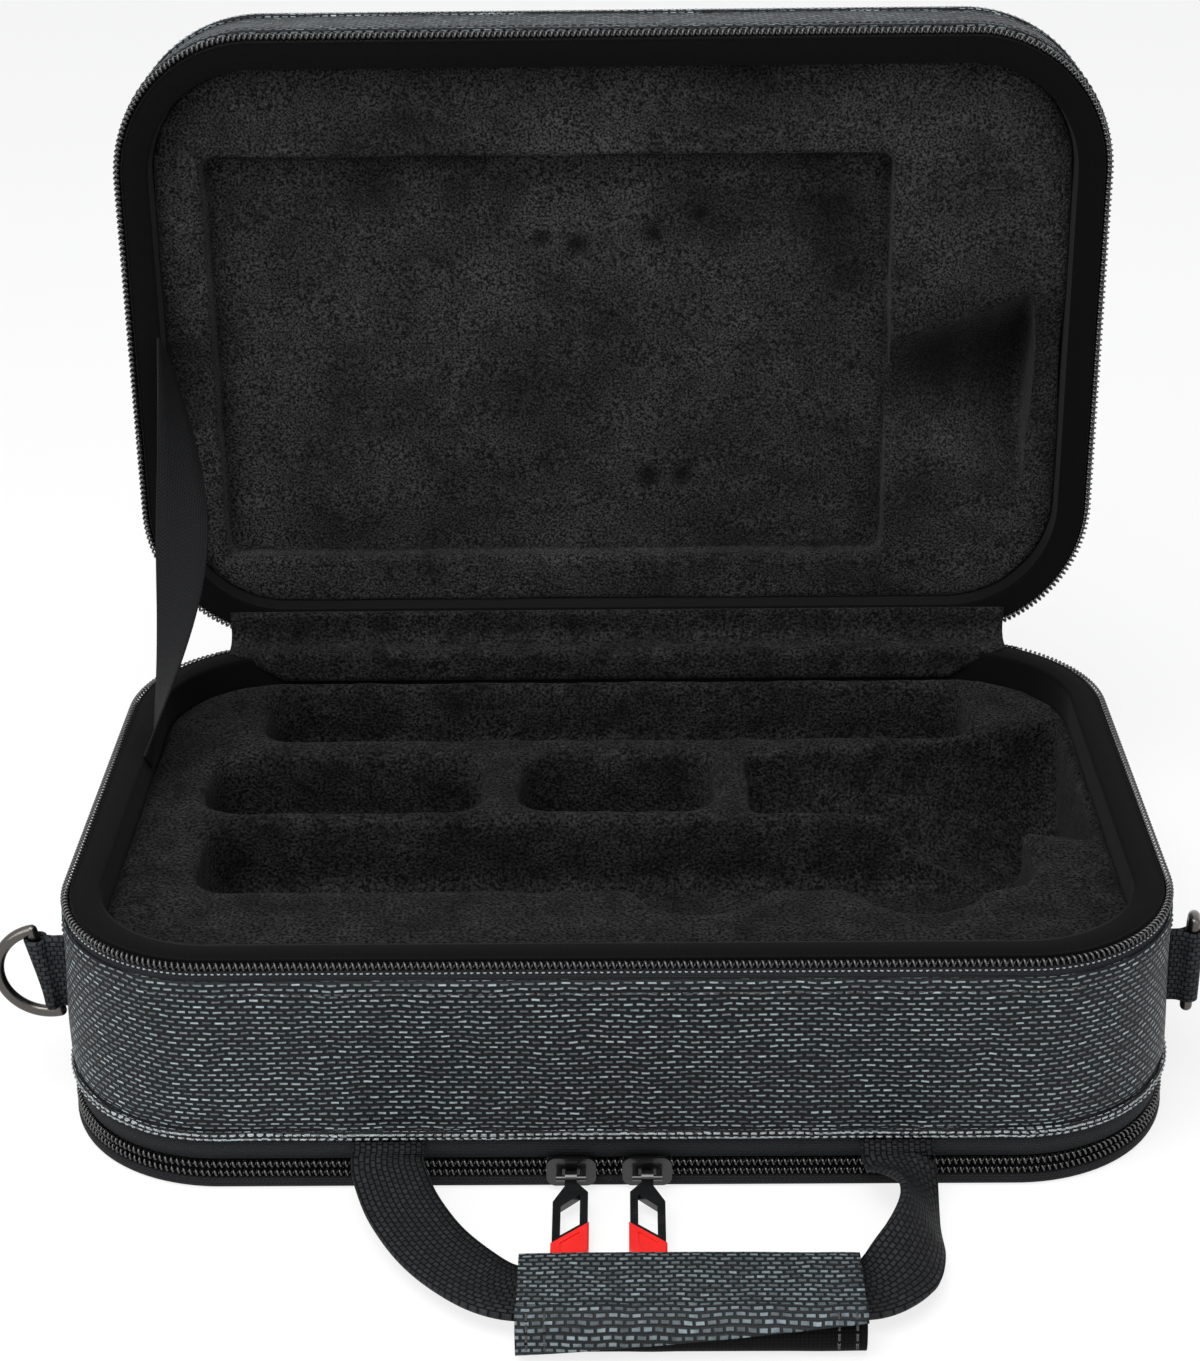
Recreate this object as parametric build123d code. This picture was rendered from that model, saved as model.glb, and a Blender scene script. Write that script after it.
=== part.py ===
"""Soft zip-up case for a taken-apart clarinet, standing open and empty.

Millimetres, +Z up, +Y to the hinge at the back, origin at the centre of the face it stands on.
The base and the lid are two halves that meet at the closing plane. Each half is described by
its depth, the distance from that plane. Lid pieces are made closed and then turned open.
"""
from build123d import *

import os
from math import acos, atan, cos, degrees, radians, sin

# ---- Outline of both halves, at the closing plane
CASE_LENGTH = 342.0
CASE_WIDTH = 220.0
CORNER_R = 50.0
FOOT_GROW = 1.4  # the base's wall leans out by this much down to its hem

# ---- Heights of the base and depth of the lid
CLOSING_Z = 79.0
LID_DEPTH = 37.5
OPEN_ANGLE = 92.7
HINGE_HALF = 141.0  # half the length of the cloth hinge
SPINE_HALF = HINGE_HALF - 13.0  # clear of the sliders parked at the chain's ends

# ---- Skins, foam and small gaps
SEAM_GAP = 0.1
RUNNING_GAP = 0.3
COVER_T = 1.2
TAPE_T = 0.8
FOAM_T = 10.0
BAND_T = 0.8
BAND_TOP = 0.5  # the knit band's top lies this deep
COIL_R = 1.4
COIL_INSET = 1.5
COIL_TOP = 0.15
COVER_TOP = 6.2  # the nylon starts this deep below the closing plane
TAPE_END = 10.0

# ---- Foot of the base: hem, pocket zipper, pocket panel
HEM_TOP_Z = 21.0
HEM_LOW_Z = 17.6
HEM_PROUD = 0.8
POCKET_HEM_PROUD = 0.5
SHELL_FOOT_Z = 12.0
FLOOR_T = 3.0
POCKET_CHAIN_Z = 6.75
POCKET_COIL_R = 1.3
POCKET_CHAIN_GAP = 0.6
POCKET_COIL_INSET = 0.9
POCKET_HEM_LOW_Z = 0.6
POCKET_HEM_TOP_Z = 3.7
POCKET_HEM_T = 2.7
PANEL_T = 1.9

# ---- Insert of the base: rows of hollows for the joints of the instrument
INSERT_TOP_DEPTH = 10.0
PLUSH_EDGE_R = 2.5
HOLLOW_CORNER_R = 12.0
HOLLOW_FLOOR_R = 5.0
ROW_WALL = 7.0
BACK_ROW_WALL = 13.0
LOWER_ROW = dict(y=-28.0, width=44.0, left=-CASE_LENGTH / 2 + 37, right=CASE_LENGTH / 2 - 39, floor_z=42.0)
MIDDLE_WIDTH = 38.0
MIDDLE_Y = LOWER_ROW["y"] + LOWER_ROW["width"] / 2 + ROW_WALL + MIDDLE_WIDTH / 2
MOUTHPIECE = dict(y=MIDDLE_Y, width=MIDDLE_WIDTH, left=-CASE_LENGTH / 2 + 33, right=-45.0, floor_z=42.0)
BARREL = dict(y=MIDDLE_Y, width=MIDDLE_WIDTH, left=-33.0, right=33.0, floor_z=42.0)
UPPER_WIDTH = 40.0
UPPER_ROW = dict(y=MIDDLE_Y + MIDDLE_WIDTH / 2 + BACK_ROW_WALL + UPPER_WIDTH / 2, width=UPPER_WIDTH,
                 left=-CASE_LENGTH / 2 + 47, right=CASE_LENGTH / 2 - 47, floor_z=44.0)
KEY_CUP_X = (26.0, 95.0)
KEY_CUP_R = 22.0
KEY_CUP_Y = LOWER_ROW["y"] - LOWER_ROW["width"] / 2 + 7
KEY_CUP_FLOOR_Z = 48.0
BELL_AXIS_Z = 62.0
BELL_LEFT, BELL_RIGHT = BARREL["right"] + 11, CASE_LENGTH / 2 - 16
BELL_NECK_R, BELL_MID_R, BELL_RIM_R = 20.0, 27.0, 43.0
BELL_MIDDLE = 0.55  # share of the bell's length at which its middle radius is taken

# ---- Liner of the lid
LINER_DEPTH = 9.0
PANEL_LEFT, PANEL_RIGHT = -CASE_LENGTH / 2 + 29, CASE_LENGTH / 2 - 74
PANEL_LOW, PANEL_HIGH = 29.5, CASE_WIDTH - 44  # distance up the lid from the hinge
PANEL_CORNER_R = 4.0
PANEL_FLOOR_DEPTH = 18.5
LID_BELL_RIGHT = CASE_LENGTH / 2 - 24
LID_BELL_NECK_R, LID_BELL_MID_R, LID_BELL_RIM_R = 33.0, 36.5, 46.0

# ---- Webbing, rings and their tabs
RING_Y = -59.0
RING_Z = 45.0
RING_BAR_X = CASE_LENGTH / 2 + 8.8
RING_WIRE_R = 1.9
RING_BOW_R = 15.1
RING_BORE_GAP = 0.08
TAB_WIDTH = 25.0
TAB_T = 3.2
TAB_FOOT_T = 1.3
TAB_FOOT_W = 13.0
LEFT_RING_LEAN = 12.0
RIGHT_RING_SWING = 78.0

# ---- Handle
STRAP_T = 2.2
STRAP_W = 22.0
HANDLE_Z = 13.6
LEFT_ANCHOR_X = -69.0
RIGHT_ANCHOR_X = 84.3
ANCHOR_REACH = 3.1
GRIP_LEFT, GRIP_RIGHT = -28.0, 69.0
GRIP_Y = -CASE_WIDTH / 2 - 63.5
GRIP_W = 33.0
GRIP_H = 14.5
GRIP_CORNER_R = 6.5
WRAP_T = 1.3
STRAP_REST = 6.0  # the strap lies flat from this far inside the grip
STRAP_STUB = 2.0
STRAP_IN_GRIP_Y = GRIP_Y + 3.5
FLAP_LOW_Z = 3.0

# ---- Zipper sliders and pulls
SLIDER_L = 15.0
SLIDER_PLATE_T = 1.2
SLIDER_HALF_H = 5.0
SLIDER_BACK_HALF_H = 4.6
SLIDER_COIL_GAP = 0.35
BRIDGE_L = 4.0
BRIDGE_T = 0.4
BAIL_R = 0.9
BAIL_SPAN = 9.0
BAIL_REACH = 2.9
EYE_GAP = 0.08
EYE_WALL = 1.1
EYE_L = 3.6
PULL_T = 2.4
PULL_W = 10.5
PULL_L = 37.0
PULL_LIMB = 2.4  # width of the metal on both sides of the window
PULL_SHOULDER = 5.0  # how much lower one shoulder of the six-sided pull is than the other
TIP_MIDDLE = 23.5  # where the slanting edge of the cap crosses the pull's middle
TIP_SLANT = 8.0
TIP_T = 3.4
TIP_WALL = 0.35
TONGUE_T = 1.4
TONGUE_INSET = 1.2
TIP_PANEL_DEPTH = 0.4
POCKET_SLIDER_X = (-14.0, 9.0)
MAIN_SLIDER_DEPTH = 7.0

# ---- Cloth hinge and stay
FLAP_T = 1.5
SPINE_T = 1.2
SPINE_LEG = 19.0
STAY_W = 18.0
STAY_T = 0.8
STAY_LID_UP = 112.0
STAY_LID_DEPTH = 1.0
STAY_BASE_Y = 22.0
STAY_BASE_DEPTH = 3.0

# ---- Worked out from the above
HINGE_Y = CASE_WIDTH / 2
HINGE = Axis((0, HINGE_Y, CLOSING_Z), (1, 0, 0))
BASE_DEPTH = CLOSING_Z
FOAM_INSET = COVER_T + SEAM_GAP
BAND_INSET = FOAM_INSET + FOAM_T + SEAM_GAP
LINER_INSET = BAND_INSET + BAND_T + SEAM_GAP
COIL_FOOT = 2 * COIL_R + COIL_TOP
COIL_SEAT = COIL_INSET + COIL_R + SEAM_GAP
INSERT_TOP_Z = CLOSING_Z - INSERT_TOP_DEPTH
SHELL_FLOOR_Z = SHELL_FOOT_Z + FLOOR_T
LID_SHELL_DEPTH = LID_DEPTH - COVER_T - SEAM_GAP
LID_FLOOR_DEPTH = LID_SHELL_DEPTH - FLOOR_T


# ---- Outlines and walls shared by the two halves

def half_size(inset):
    """Half length, half width and corner radius of the outline, moved in by an inset."""
    return CASE_LENGTH / 2 - inset, CASE_WIDTH / 2 - inset, CORNER_R - inset


def block(inset, top, foot, taper=0.0):
    """The half's outline as a solid, between two depths, in the base's place."""
    hx, hy, r = half_size(inset)
    plan = Pos(0, 0, CLOSING_Z - foot) * RectangleRounded(2 * hx, 2 * hy, r)
    return extrude(plan, amount=foot - top, taper=taper)


def wall(outer, inner, top, foot):
    """A wall that follows the outline, between two insets and two depths."""
    return block(outer, top, foot) - block(inner, top, foot)


def hinge_gap(top, foot):
    """The stretch at the back that the zipper leaves to the cloth hinge."""
    depth = CORNER_R
    return Pos(0, HINGE_Y, CLOSING_Z - (top + foot) / 2) * Box(2 * HINGE_HALF, depth, foot - top + 1)


def zipper_path(inset, z_depth):
    """The outline from one end of the cloth hinge round the front to the other."""
    hx, hy, r = half_size(inset)
    cx, cy, z = hx - r, hy - r, CLOSING_Z - z_depth
    end = degrees(acos((HINGE_HALF - cx) / r))
    path = CenterArc((-cx, cy, z), r, 180 - end, end)
    path += Line((-hx, cy, z), (-hx, -cy, z))
    path += CenterArc((-cx, -cy, z), r, 180, 90)
    path += Line((-cx, -hy, z), (cx, -hy, z))
    path += CenterArc((cx, -cy, z), r, 270, 90)
    path += Line((hx, -cy, z), (hx, cy, z))
    path += CenterArc((cx, cy, z), r, 0, end)
    return path


def zipper_coil(inset, z_depth, radius):
    """One row of coil teeth, as a plain bead along the outline."""
    path = zipper_path(inset, z_depth)
    start = Plane(origin=path @ 0, z_dir=path % 0)
    return sweep(start * RegularPolygon(radius, 8), path=path)


def to_lid(shape):
    """Mirror a base piece through the closing plane and turn it open."""
    closed = mirror(shape, about=Plane.XY.offset(CLOSING_Z))
    return closed.rotate(HINGE, -OPEN_ANGLE)


# ---- Pieces that both halves have

def foam_shell(foot, floor):
    """Stiff foam tray: the wall and the floor under the cover, open at the rim."""
    tray = block(FOAM_INSET, BAND_TOP + BAND_T + SEAM_GAP, foot)
    tray -= block(FOAM_INSET + FOAM_T, BAND_TOP, floor)
    tray -= wall(FOAM_INSET - 1, FOAM_INSET + TAPE_T + SEAM_GAP, 0, TAPE_END + SEAM_GAP)
    return tray - wall(FOAM_INSET - 1, COIL_SEAT, 0, COIL_FOOT + SEAM_GAP)


def knit_band(skirt_foot):
    """Black knit over the foam rim and down its inner side."""
    top = wall(COIL_SEAT, BAND_INSET + BAND_T, BAND_TOP, BAND_TOP + BAND_T)
    skirt = wall(BAND_INSET, BAND_INSET + BAND_T, BAND_TOP, skirt_foot)
    band = top + skirt
    rim = band.edges().filter_by(lambda e: abs(e.center().Z - CLOSING_Z + BAND_TOP) < 0.01)
    return fillet(rim, 0.35)


def zipper_tape():
    """Tape of the main zipper, between the coil and the nylon's edge."""
    tape = wall(FOAM_INSET, FOAM_INSET + TAPE_T, COIL_FOOT + SEAM_GAP / 2, TAPE_END)
    return tape - hinge_gap(0, TAPE_END)


def main_coil():
    return zipper_coil(COIL_INSET, COIL_FOOT - COIL_R, COIL_R)


# ---- Base

def wall_out(z):
    """How far the base's nylon leans out of the outline at a height."""
    return FOOT_GROW * (CLOSING_Z - COVER_TOP - z) / (CLOSING_Z - COVER_TOP - HEM_TOP_Z)


def base_cover():
    """Woven nylon round the wall, from the zipper tape to the hem."""
    foot = BASE_DEPTH - HEM_TOP_Z
    lean = degrees(atan(FOOT_GROW / (foot - COVER_TOP)))
    return block(-FOOT_GROW, COVER_TOP, foot, lean) - block(COVER_T, COVER_TOP, foot)


def base_hem():
    """The nylon's folded lower edge, standing a little proud of the wall."""
    outer = -FOOT_GROW - HEM_PROUD
    return wall(outer, COVER_T, BASE_DEPTH - HEM_TOP_Z + SEAM_GAP, BASE_DEPTH - HEM_LOW_Z)


def base_shell():
    """Foam tray of the base."""
    return foam_shell(BASE_DEPTH - SHELL_FOOT_Z, BASE_DEPTH - SHELL_FLOOR_Z)


def pocket_coil_z(side):
    """Height of the upper (+1) or the lower (-1) row of the pocket zipper."""
    return POCKET_CHAIN_Z + side * (POCKET_CHAIN_GAP / 2 + POCKET_COIL_R)


def pocket_coil(side):
    """One row of the pocket zipper."""
    inset = POCKET_COIL_INSET - FOOT_GROW
    return zipper_coil(inset, BASE_DEPTH - pocket_coil_z(side), POCKET_COIL_R)


def pocket_tape_upper():
    """Tape from under the hem down to the upper row of coils."""
    low = pocket_coil_z(1) + POCKET_COIL_R + SEAM_GAP / 2
    outer = FOAM_INSET - FOOT_GROW
    return wall(outer, outer + TAPE_T, BASE_DEPTH - HEM_LOW_Z + SEAM_GAP / 2, BASE_DEPTH - low)


def pocket_hem():
    """Folded binding that joins the lower row of coils to the pocket panel."""
    outer = -FOOT_GROW - POCKET_HEM_PROUD
    top, foot = BASE_DEPTH - POCKET_HEM_TOP_Z, BASE_DEPTH - POCKET_HEM_LOW_Z
    return wall(outer, outer + POCKET_HEM_T, top, foot)


def pocket_panel():
    """Board covered in nylon, under the whole base. The case stands on it."""
    inset = POCKET_HEM_T - POCKET_HEM_PROUD - FOOT_GROW + SEAM_GAP
    panel = block(inset, BASE_DEPTH - PANEL_T, BASE_DEPTH)
    low = panel.edges().group_by(Axis.Z)[0]
    return fillet(low, 0.5)


def hollow(y, width, left, right, floor_z):
    """A straight-walled hollow with rounded ends and a rounded bottom."""
    height = INSERT_TOP_Z - floor_z + 1
    place = Pos((left + right) / 2, y, floor_z)
    shape = extrude(place * RectangleRounded(right - left, width, HOLLOW_CORNER_R), amount=height)
    return fillet(shape.edges().group_by(Axis.Z)[0], HOLLOW_FLOOR_R)


def key_cup(x):
    """Round bulge of the front hollow, for the large key cups."""
    height = INSERT_TOP_Z - KEY_CUP_FLOOR_Z + 1
    cup = Pos(x, KEY_CUP_Y, KEY_CUP_FLOOR_Z + height / 2) * Cylinder(KEY_CUP_R, height)
    return fillet(cup.edges().group_by(Axis.Z)[0], HOLLOW_FLOOR_R)


def bell_half(left, neck_r, mid_r, right, rim_r):
    """Half of the bell's outline along its axis, flaring from the neck to the rim."""
    middle = left + BELL_MIDDLE * (right - left)
    curve = ThreePointArc((left, neck_r), (middle, mid_r), (right, rim_r))
    return make_face(curve + Polyline((right, rim_r), (right, 0), (left, 0), (left, neck_r)))


def flare(half, axis_z):
    """Solid of revolution from half an outline, on the middle row's line."""
    return Pos(0, MIDDLE_Y, axis_z) * revolve(half, Axis.X)


def bell_hollow():
    """The bell's room: flared below its axis, with straight sides above it."""
    half = bell_half(BELL_LEFT, BELL_NECK_R, BELL_MID_R, BELL_RIGHT, BELL_RIM_R)
    plan = half + mirror(half, about=Plane.XZ)
    sides = extrude(Pos(0, MIDDLE_Y, BELL_AXIS_Z) * plan, amount=INSERT_TOP_Z - BELL_AXIS_Z + 1)
    return flare(half, BELL_AXIS_Z) + sides


def base_insert():
    """Foam insert with a hollow for each joint of the instrument, before it is cut into blocks."""
    insert = block(LINER_INSET, INSERT_TOP_DEPTH, BASE_DEPTH - SHELL_FLOOR_Z - SEAM_GAP)
    insert -= hollow(**LOWER_ROW)
    for x in KEY_CUP_X:
        insert -= key_cup(x)
    for row in (UPPER_ROW, MOUTHPIECE, BARREL):
        insert -= hollow(**row)
    top = insert.edges().filter_by_position(Axis.Z, INSERT_TOP_Z - 0.01, INSERT_TOP_Z + 0.01)
    return fillet(top, PLUSH_EDGE_R) - bell_hollow()


def insert_blocks():
    """The insert's three foam blocks, which meet in the middle of the walls between the rows."""
    front = LOWER_ROW["y"] + LOWER_ROW["width"] / 2 + ROW_WALL / 2
    back = UPPER_ROW["y"] - UPPER_WIDTH / 2 - BACK_ROW_WALL / 2
    lines = (-CASE_WIDTH, front, back, CASE_WIDTH)
    insert = base_insert()
    blocks = []
    for low, high in zip(lines, lines[1:]):
        depth = high - low - SEAM_GAP
        blocks.append(insert & Pos(0, (low + high) / 2, CLOSING_Z / 2) * Box(CASE_LENGTH, depth, CLOSING_Z))
    return blocks


# ---- Lid, in the base's place until to_lid turns it over

def lid_cover():
    """Woven nylon over the lid's wall and crown."""
    return block(0, COVER_TOP, LID_DEPTH) - block(COVER_T, COVER_TOP, LID_DEPTH - COVER_T)


def lid_hem():
    """Folded and stitched seam where the lid's wall meets its crown."""
    return wall(-HEM_PROUD, 0, LID_DEPTH - (HEM_TOP_Z - HEM_LOW_Z), LID_DEPTH)


def lid_liner():
    """Plush liner with the flat panel recess and the recess for the bell."""
    liner = block(LINER_INSET, LINER_DEPTH, LID_FLOOR_DEPTH - SEAM_GAP)
    length, height = PANEL_RIGHT - PANEL_LEFT, PANEL_HIGH - PANEL_LOW
    place = Pos((PANEL_LEFT + PANEL_RIGHT) / 2, HINGE_Y - (PANEL_LOW + PANEL_HIGH) / 2,
                CLOSING_Z - PANEL_FLOOR_DEPTH)
    liner -= extrude(place * RectangleRounded(length, height, PANEL_CORNER_R), amount=PANEL_FLOOR_DEPTH)
    bell = bell_half(PANEL_RIGHT - 1, LID_BELL_NECK_R, LID_BELL_MID_R, LID_BELL_RIGHT, LID_BELL_RIM_R)
    liner -= flare(bell, 2 * CLOSING_Z - BELL_AXIS_Z)
    rim_z = CLOSING_Z - LINER_DEPTH
    top = liner.edges().filter_by_position(Axis.Z, rim_z - 0.01, rim_z + 0.01)
    return fillet(top, PLUSH_EDGE_R / 2)


# ---- Cloth hinge and stay ribbon

def hinge_flap():
    """Plush cloth inside: up from the insert, over the base's rim and up the lid's rim."""
    y0 = HINGE_Y - LINER_INSET - FLAP_T
    y1 = HINGE_Y - RUNNING_GAP
    z0 = INSERT_TOP_Z + RUNNING_GAP
    z1 = CLOSING_Z - BAND_TOP + RUNNING_GAP
    z2 = CLOSING_Z + LINER_INSET
    profile = make_face(Polyline((y0, z1), (y0, z1 + FLAP_T), (y1 - FLAP_T, z1 + FLAP_T),
                                 (y1 - FLAP_T, z2), (y1, z2), (y1, z1), close=True))
    cove = profile.vertices().sort_by_distance((y1 - FLAP_T, z1 + FLAP_T))[0]
    legs = extrude(Plane.YZ.offset(-HINGE_HALF) * fillet(cove, 5), amount=2 * HINGE_HALF)
    straight = CASE_LENGTH - 2 * CORNER_R
    drop = Pos(0, y0 + FLAP_T / 2, (z0 + z1) / 2) * Box(straight, FLAP_T, z1 - z0)
    return legs + drop


def hinge_spine():
    """Nylon spine outside, sewn to both back walls."""
    lean = FOOT_GROW * SPINE_LEG / (CLOSING_Z - HEM_TOP_Z)
    y = HINGE_Y + lean + SEAM_GAP + SPINE_T / 2
    leg = Pos(0, y, CLOSING_Z - SPINE_LEG / 2) * Box(2 * SPINE_HALF, SPINE_T, SPINE_LEG)
    return leg + to_lid(leg)


def ribbon(stations, width, thickness, start=None, end=None):
    """A flat band through stations of (centre, direction of its width), square to start and end."""
    points = [Vector(*p) for p, _ in stations]
    last = len(points) - 1
    sections = []
    for i, (_, across) in enumerate(stations):
        along = (points[min(i + 1, last)] - points[max(i - 1, 0)]).normalized()
        along = Vector(*start) if start and i == 0 else Vector(*end) if end and i == last else along
        side = Vector(*across)
        side = (side - along * side.dot(along)).normalized()
        sections.append(Plane(points[i], x_dir=side, z_dir=along) * Rectangle(width, thickness))
    return loft(sections, ruled=True)


def stay_ribbon():
    """Taut ribbon on the left that stops the lid: it turns half over on its way."""
    turn = radians(OPEN_ANGLE)
    x = -CASE_LENGTH / 2 + LINER_INSET + STAY_T / 2 + SEAM_GAP
    up, depth = STAY_LID_UP, STAY_LID_DEPTH
    y0 = HINGE_Y - up * cos(turn) + depth * sin(turn)
    z0 = CLOSING_Z + up * sin(turn) + depth * cos(turn)
    y1, z1 = STAY_BASE_Y, CLOSING_Z - STAY_BASE_DEPTH
    stations = []
    for i in range(7):
        t = i / 6
        twist = radians(180 * t)
        centre = (x + STAY_W / 2 * sin(twist), y0 + (y1 - y0) * t, z0 + (z1 - z0) * t)
        stations.append((centre, (sin(twist), cos(twist), -0.6 * cos(twist))))
    return ribbon(stations, STAY_W, STAY_T)


# ---- Strap rings and their tabs

def ring_place(side):
    """Frame at the ring's bar: +X points away from the case, +Z runs along the bar."""
    lean = LEFT_RING_LEAN if side < 0 else 0
    turn = Rot(0, 0, 180) if side < 0 else Rot(0, 0, 0)
    return Pos(side * RING_BAR_X, RING_Y, RING_Z) * turn * Rot(0, lean, 0)


def ring(side):
    """Wire ring, D-shaped: a straight bar and a half-round bow."""
    bar = Cylinder(RING_WIRE_R, 2 * RING_BOW_R)
    bow_path = CenterArc((0, 0, 0), RING_BOW_R, -90, 180)
    bow = sweep(Plane(origin=bow_path @ 0, z_dir=bow_path % 0) * Circle(RING_WIRE_R), path=bow_path)
    shape = bar + Rot(90, 0, 0) * bow
    for end in (-1, 1):
        shape += Pos(0, 0, end * RING_BOW_R) * Sphere(RING_WIRE_R)
    swing = 0 if side < 0 else RIGHT_RING_SWING
    return ring_place(side) * Rot(0, 0, swing) * shape


def ring_tab(side):
    """Webbing tab sewn to the end wall, with a loop that holds the ring's bar."""
    wall_x = CASE_LENGTH / 2 + wall_out(RING_Z - TAB_WIDTH / 2) + SEAM_GAP
    foot = Pos(side * (wall_x + TAB_FOOT_T / 2), RING_Y, RING_Z) * Box(TAB_FOOT_T, TAB_FOOT_W, TAB_WIDTH)
    loop_r = RING_WIRE_R + RING_BORE_GAP + TAB_FOOT_T
    start = Plane((side * (wall_x + TAB_FOOT_T / 2), RING_Y, RING_Z), x_dir=(0, 1, 0), z_dir=(side, 0, 0))
    end = Plane(ring_place(side) * Pos(-loop_r + 0.6, 0, 0) * Rot(0, 90, 0))
    end = Plane(end.origin, x_dir=(0, 1, 0), z_dir=end.z_dir)
    neck = loft([start * Rectangle(TAB_T, TAB_WIDTH), end * Rectangle(TAB_T, TAB_WIDTH)], ruled=True)
    loop = ring_place(side) * Cylinder(loop_r, TAB_WIDTH)
    bore = ring_place(side) * Cylinder(RING_WIRE_R + RING_BORE_GAP, TAB_WIDTH + 4)
    return foot + neck + loop - bore


# ---- Handle

ANCHOR_Y = -half_size(FOAM_INSET - FOOT_GROW)[1] - SEAM_GAP
PIVOT_Y = ANCHOR_Y - ANCHOR_REACH - RUNNING_GAP - STRAP_T / 2
STRAP_Z = GRIP_H / 2
LEFT_STRAP = [
    ((LEFT_ANCHOR_X, PIVOT_Y - STRAP_STUB, HANDLE_Z), (1, 0, 0)),
    ((-68, PIVOT_Y - 7, 12.6), (0.98, 0.2, 0.1)),
    ((-63, PIVOT_Y - 20, 10.2), (0.85, 0.5, 0.15)),
    ((-54, PIVOT_Y - 35, 8.6), (0.65, 0.75, 0.1)),
    ((-43, PIVOT_Y - 47, 7.9), (0.4, 0.9, 0.05)),
    ((-33, STRAP_IN_GRIP_Y + 1.5, 7.4), (0.15, 1, 0)),
    ((GRIP_LEFT + STRAP_REST, STRAP_IN_GRIP_Y, STRAP_Z), (0, 1, 0)),
]
RIGHT_STRAP = [
    ((RIGHT_ANCHOR_X, PIVOT_Y - STRAP_STUB, HANDLE_Z), (1, 0, 0)),
    ((86, PIVOT_Y - 8, 12.4), (0.9, -0.1, -0.4)),
    ((88.5, PIVOT_Y - 19, 11.6), (0.55, -0.1, -0.8)),
    ((88, PIVOT_Y - 32, 11.3), (0.45, -0.5, -0.75)),
    ((82.5, PIVOT_Y - 45, 9.5), (0.2, -0.85, -0.4)),
    ((74, STRAP_IN_GRIP_Y + 2, 7.6), (0.05, -1, -0.1)),
    ((GRIP_RIGHT - STRAP_REST, STRAP_IN_GRIP_Y, STRAP_Z), (0, -1, 0)),
]


def handle_anchor(x):
    """Webbing sewn under the hem, up to the line where the handle swings."""
    sewn_h = HEM_LOW_Z - SEAM_GAP - HANDLE_Z + STRAP_T / 2
    sewn = Pos(x, ANCHOR_Y - 0.8, HANDLE_Z - STRAP_T / 2 + sewn_h / 2) * Box(STRAP_W, 1.6, sewn_h)
    out = Pos(x, ANCHOR_Y - ANCHOR_REACH / 2, HANDLE_Z) * Box(STRAP_W, ANCHOR_REACH, STRAP_T)
    return sewn + out


def handle_strap():
    """One webbing strap: both visible ends and the stretch through the grip."""
    inside = GRIP_RIGHT - GRIP_LEFT - 2 * STRAP_REST
    shape = Pos((GRIP_LEFT + GRIP_RIGHT) / 2, STRAP_IN_GRIP_Y, STRAP_Z) * Box(inside, STRAP_W, STRAP_T)
    shape += ribbon(LEFT_STRAP, STRAP_W, STRAP_T, start=(0, -1, 0), end=(1, 0, 0))
    shape += ribbon(RIGHT_STRAP, STRAP_W, STRAP_T, start=(0, -1, 0), end=(-1, 0, 0))
    for x in (LEFT_ANCHOR_X, RIGHT_ANCHOR_X):
        stub = Box(STRAP_W, STRAP_STUB + STRAP_T / 2, STRAP_T)
        back = stub.edges().filter_by(Axis.X).group_by(Axis.Y)[-1]
        shape += Pos(x, PIVOT_Y + STRAP_T / 4 - STRAP_STUB / 2, HANDLE_Z) * fillet(back, STRAP_T * 0.45)
    return shape


def grip_section(shrink):
    return RectangleRounded(GRIP_W - 2 * shrink, GRIP_H - 2 * shrink, GRIP_CORNER_R - shrink)


def grip_bar(shrink, left, right):
    place = Plane((left, GRIP_Y, GRIP_H / 2), x_dir=(0, 1, 0), z_dir=(1, 0, 0))
    return extrude(place * grip_section(shrink), amount=right - left)


def grip_core():
    """Foam pad round the strap."""
    core = grip_bar(WRAP_T + SEAM_GAP, GRIP_LEFT + STRAP_REST, GRIP_RIGHT - STRAP_REST)
    slot = Pos((GRIP_LEFT + GRIP_RIGHT) / 2, STRAP_IN_GRIP_Y, STRAP_Z)
    length = GRIP_RIGHT - GRIP_LEFT
    return core - slot * Box(length, STRAP_W + 2 * SEAM_GAP, STRAP_T + 2 * SEAM_GAP)


def grip_wrap():
    """Nylon sleeve round the pad."""
    return grip_bar(0, GRIP_LEFT, GRIP_RIGHT) - grip_bar(WRAP_T, GRIP_LEFT, GRIP_RIGHT)


def grip_flap():
    """The sleeve's free edge, lapped down over the front and closed on itself."""
    outer = grip_bar(-WRAP_T - SEAM_GAP, GRIP_LEFT, GRIP_RIGHT) - grip_bar(-SEAM_GAP, GRIP_LEFT, GRIP_RIGHT)
    front = Pos((GRIP_LEFT + GRIP_RIGHT) / 2, GRIP_Y - GRIP_W / 2, GRIP_H / 2 + FLAP_LOW_Z)
    return outer & front * Box(GRIP_RIGHT - GRIP_LEFT, GRIP_W * 0.7, GRIP_H)


# ---- Zipper sliders and pulls. Local frame: +X along the chain, -Y outward, bail's bar at the origin

def bail_to_chain():
    """Distance from the bail's bar in to the middle of the chain."""
    return BAIL_REACH + SLIDER_PLATE_T + SLIDER_COIL_GAP + POCKET_COIL_R


def slider_plate(half_height, y):
    """Rounded plate of a slider, its inner or outer face at y."""
    plate = extrude(Plane.XZ * RectangleRounded(SLIDER_L, 2 * half_height, 3), amount=SLIDER_PLATE_T)
    return Pos(0, y, 0) * plate


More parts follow.
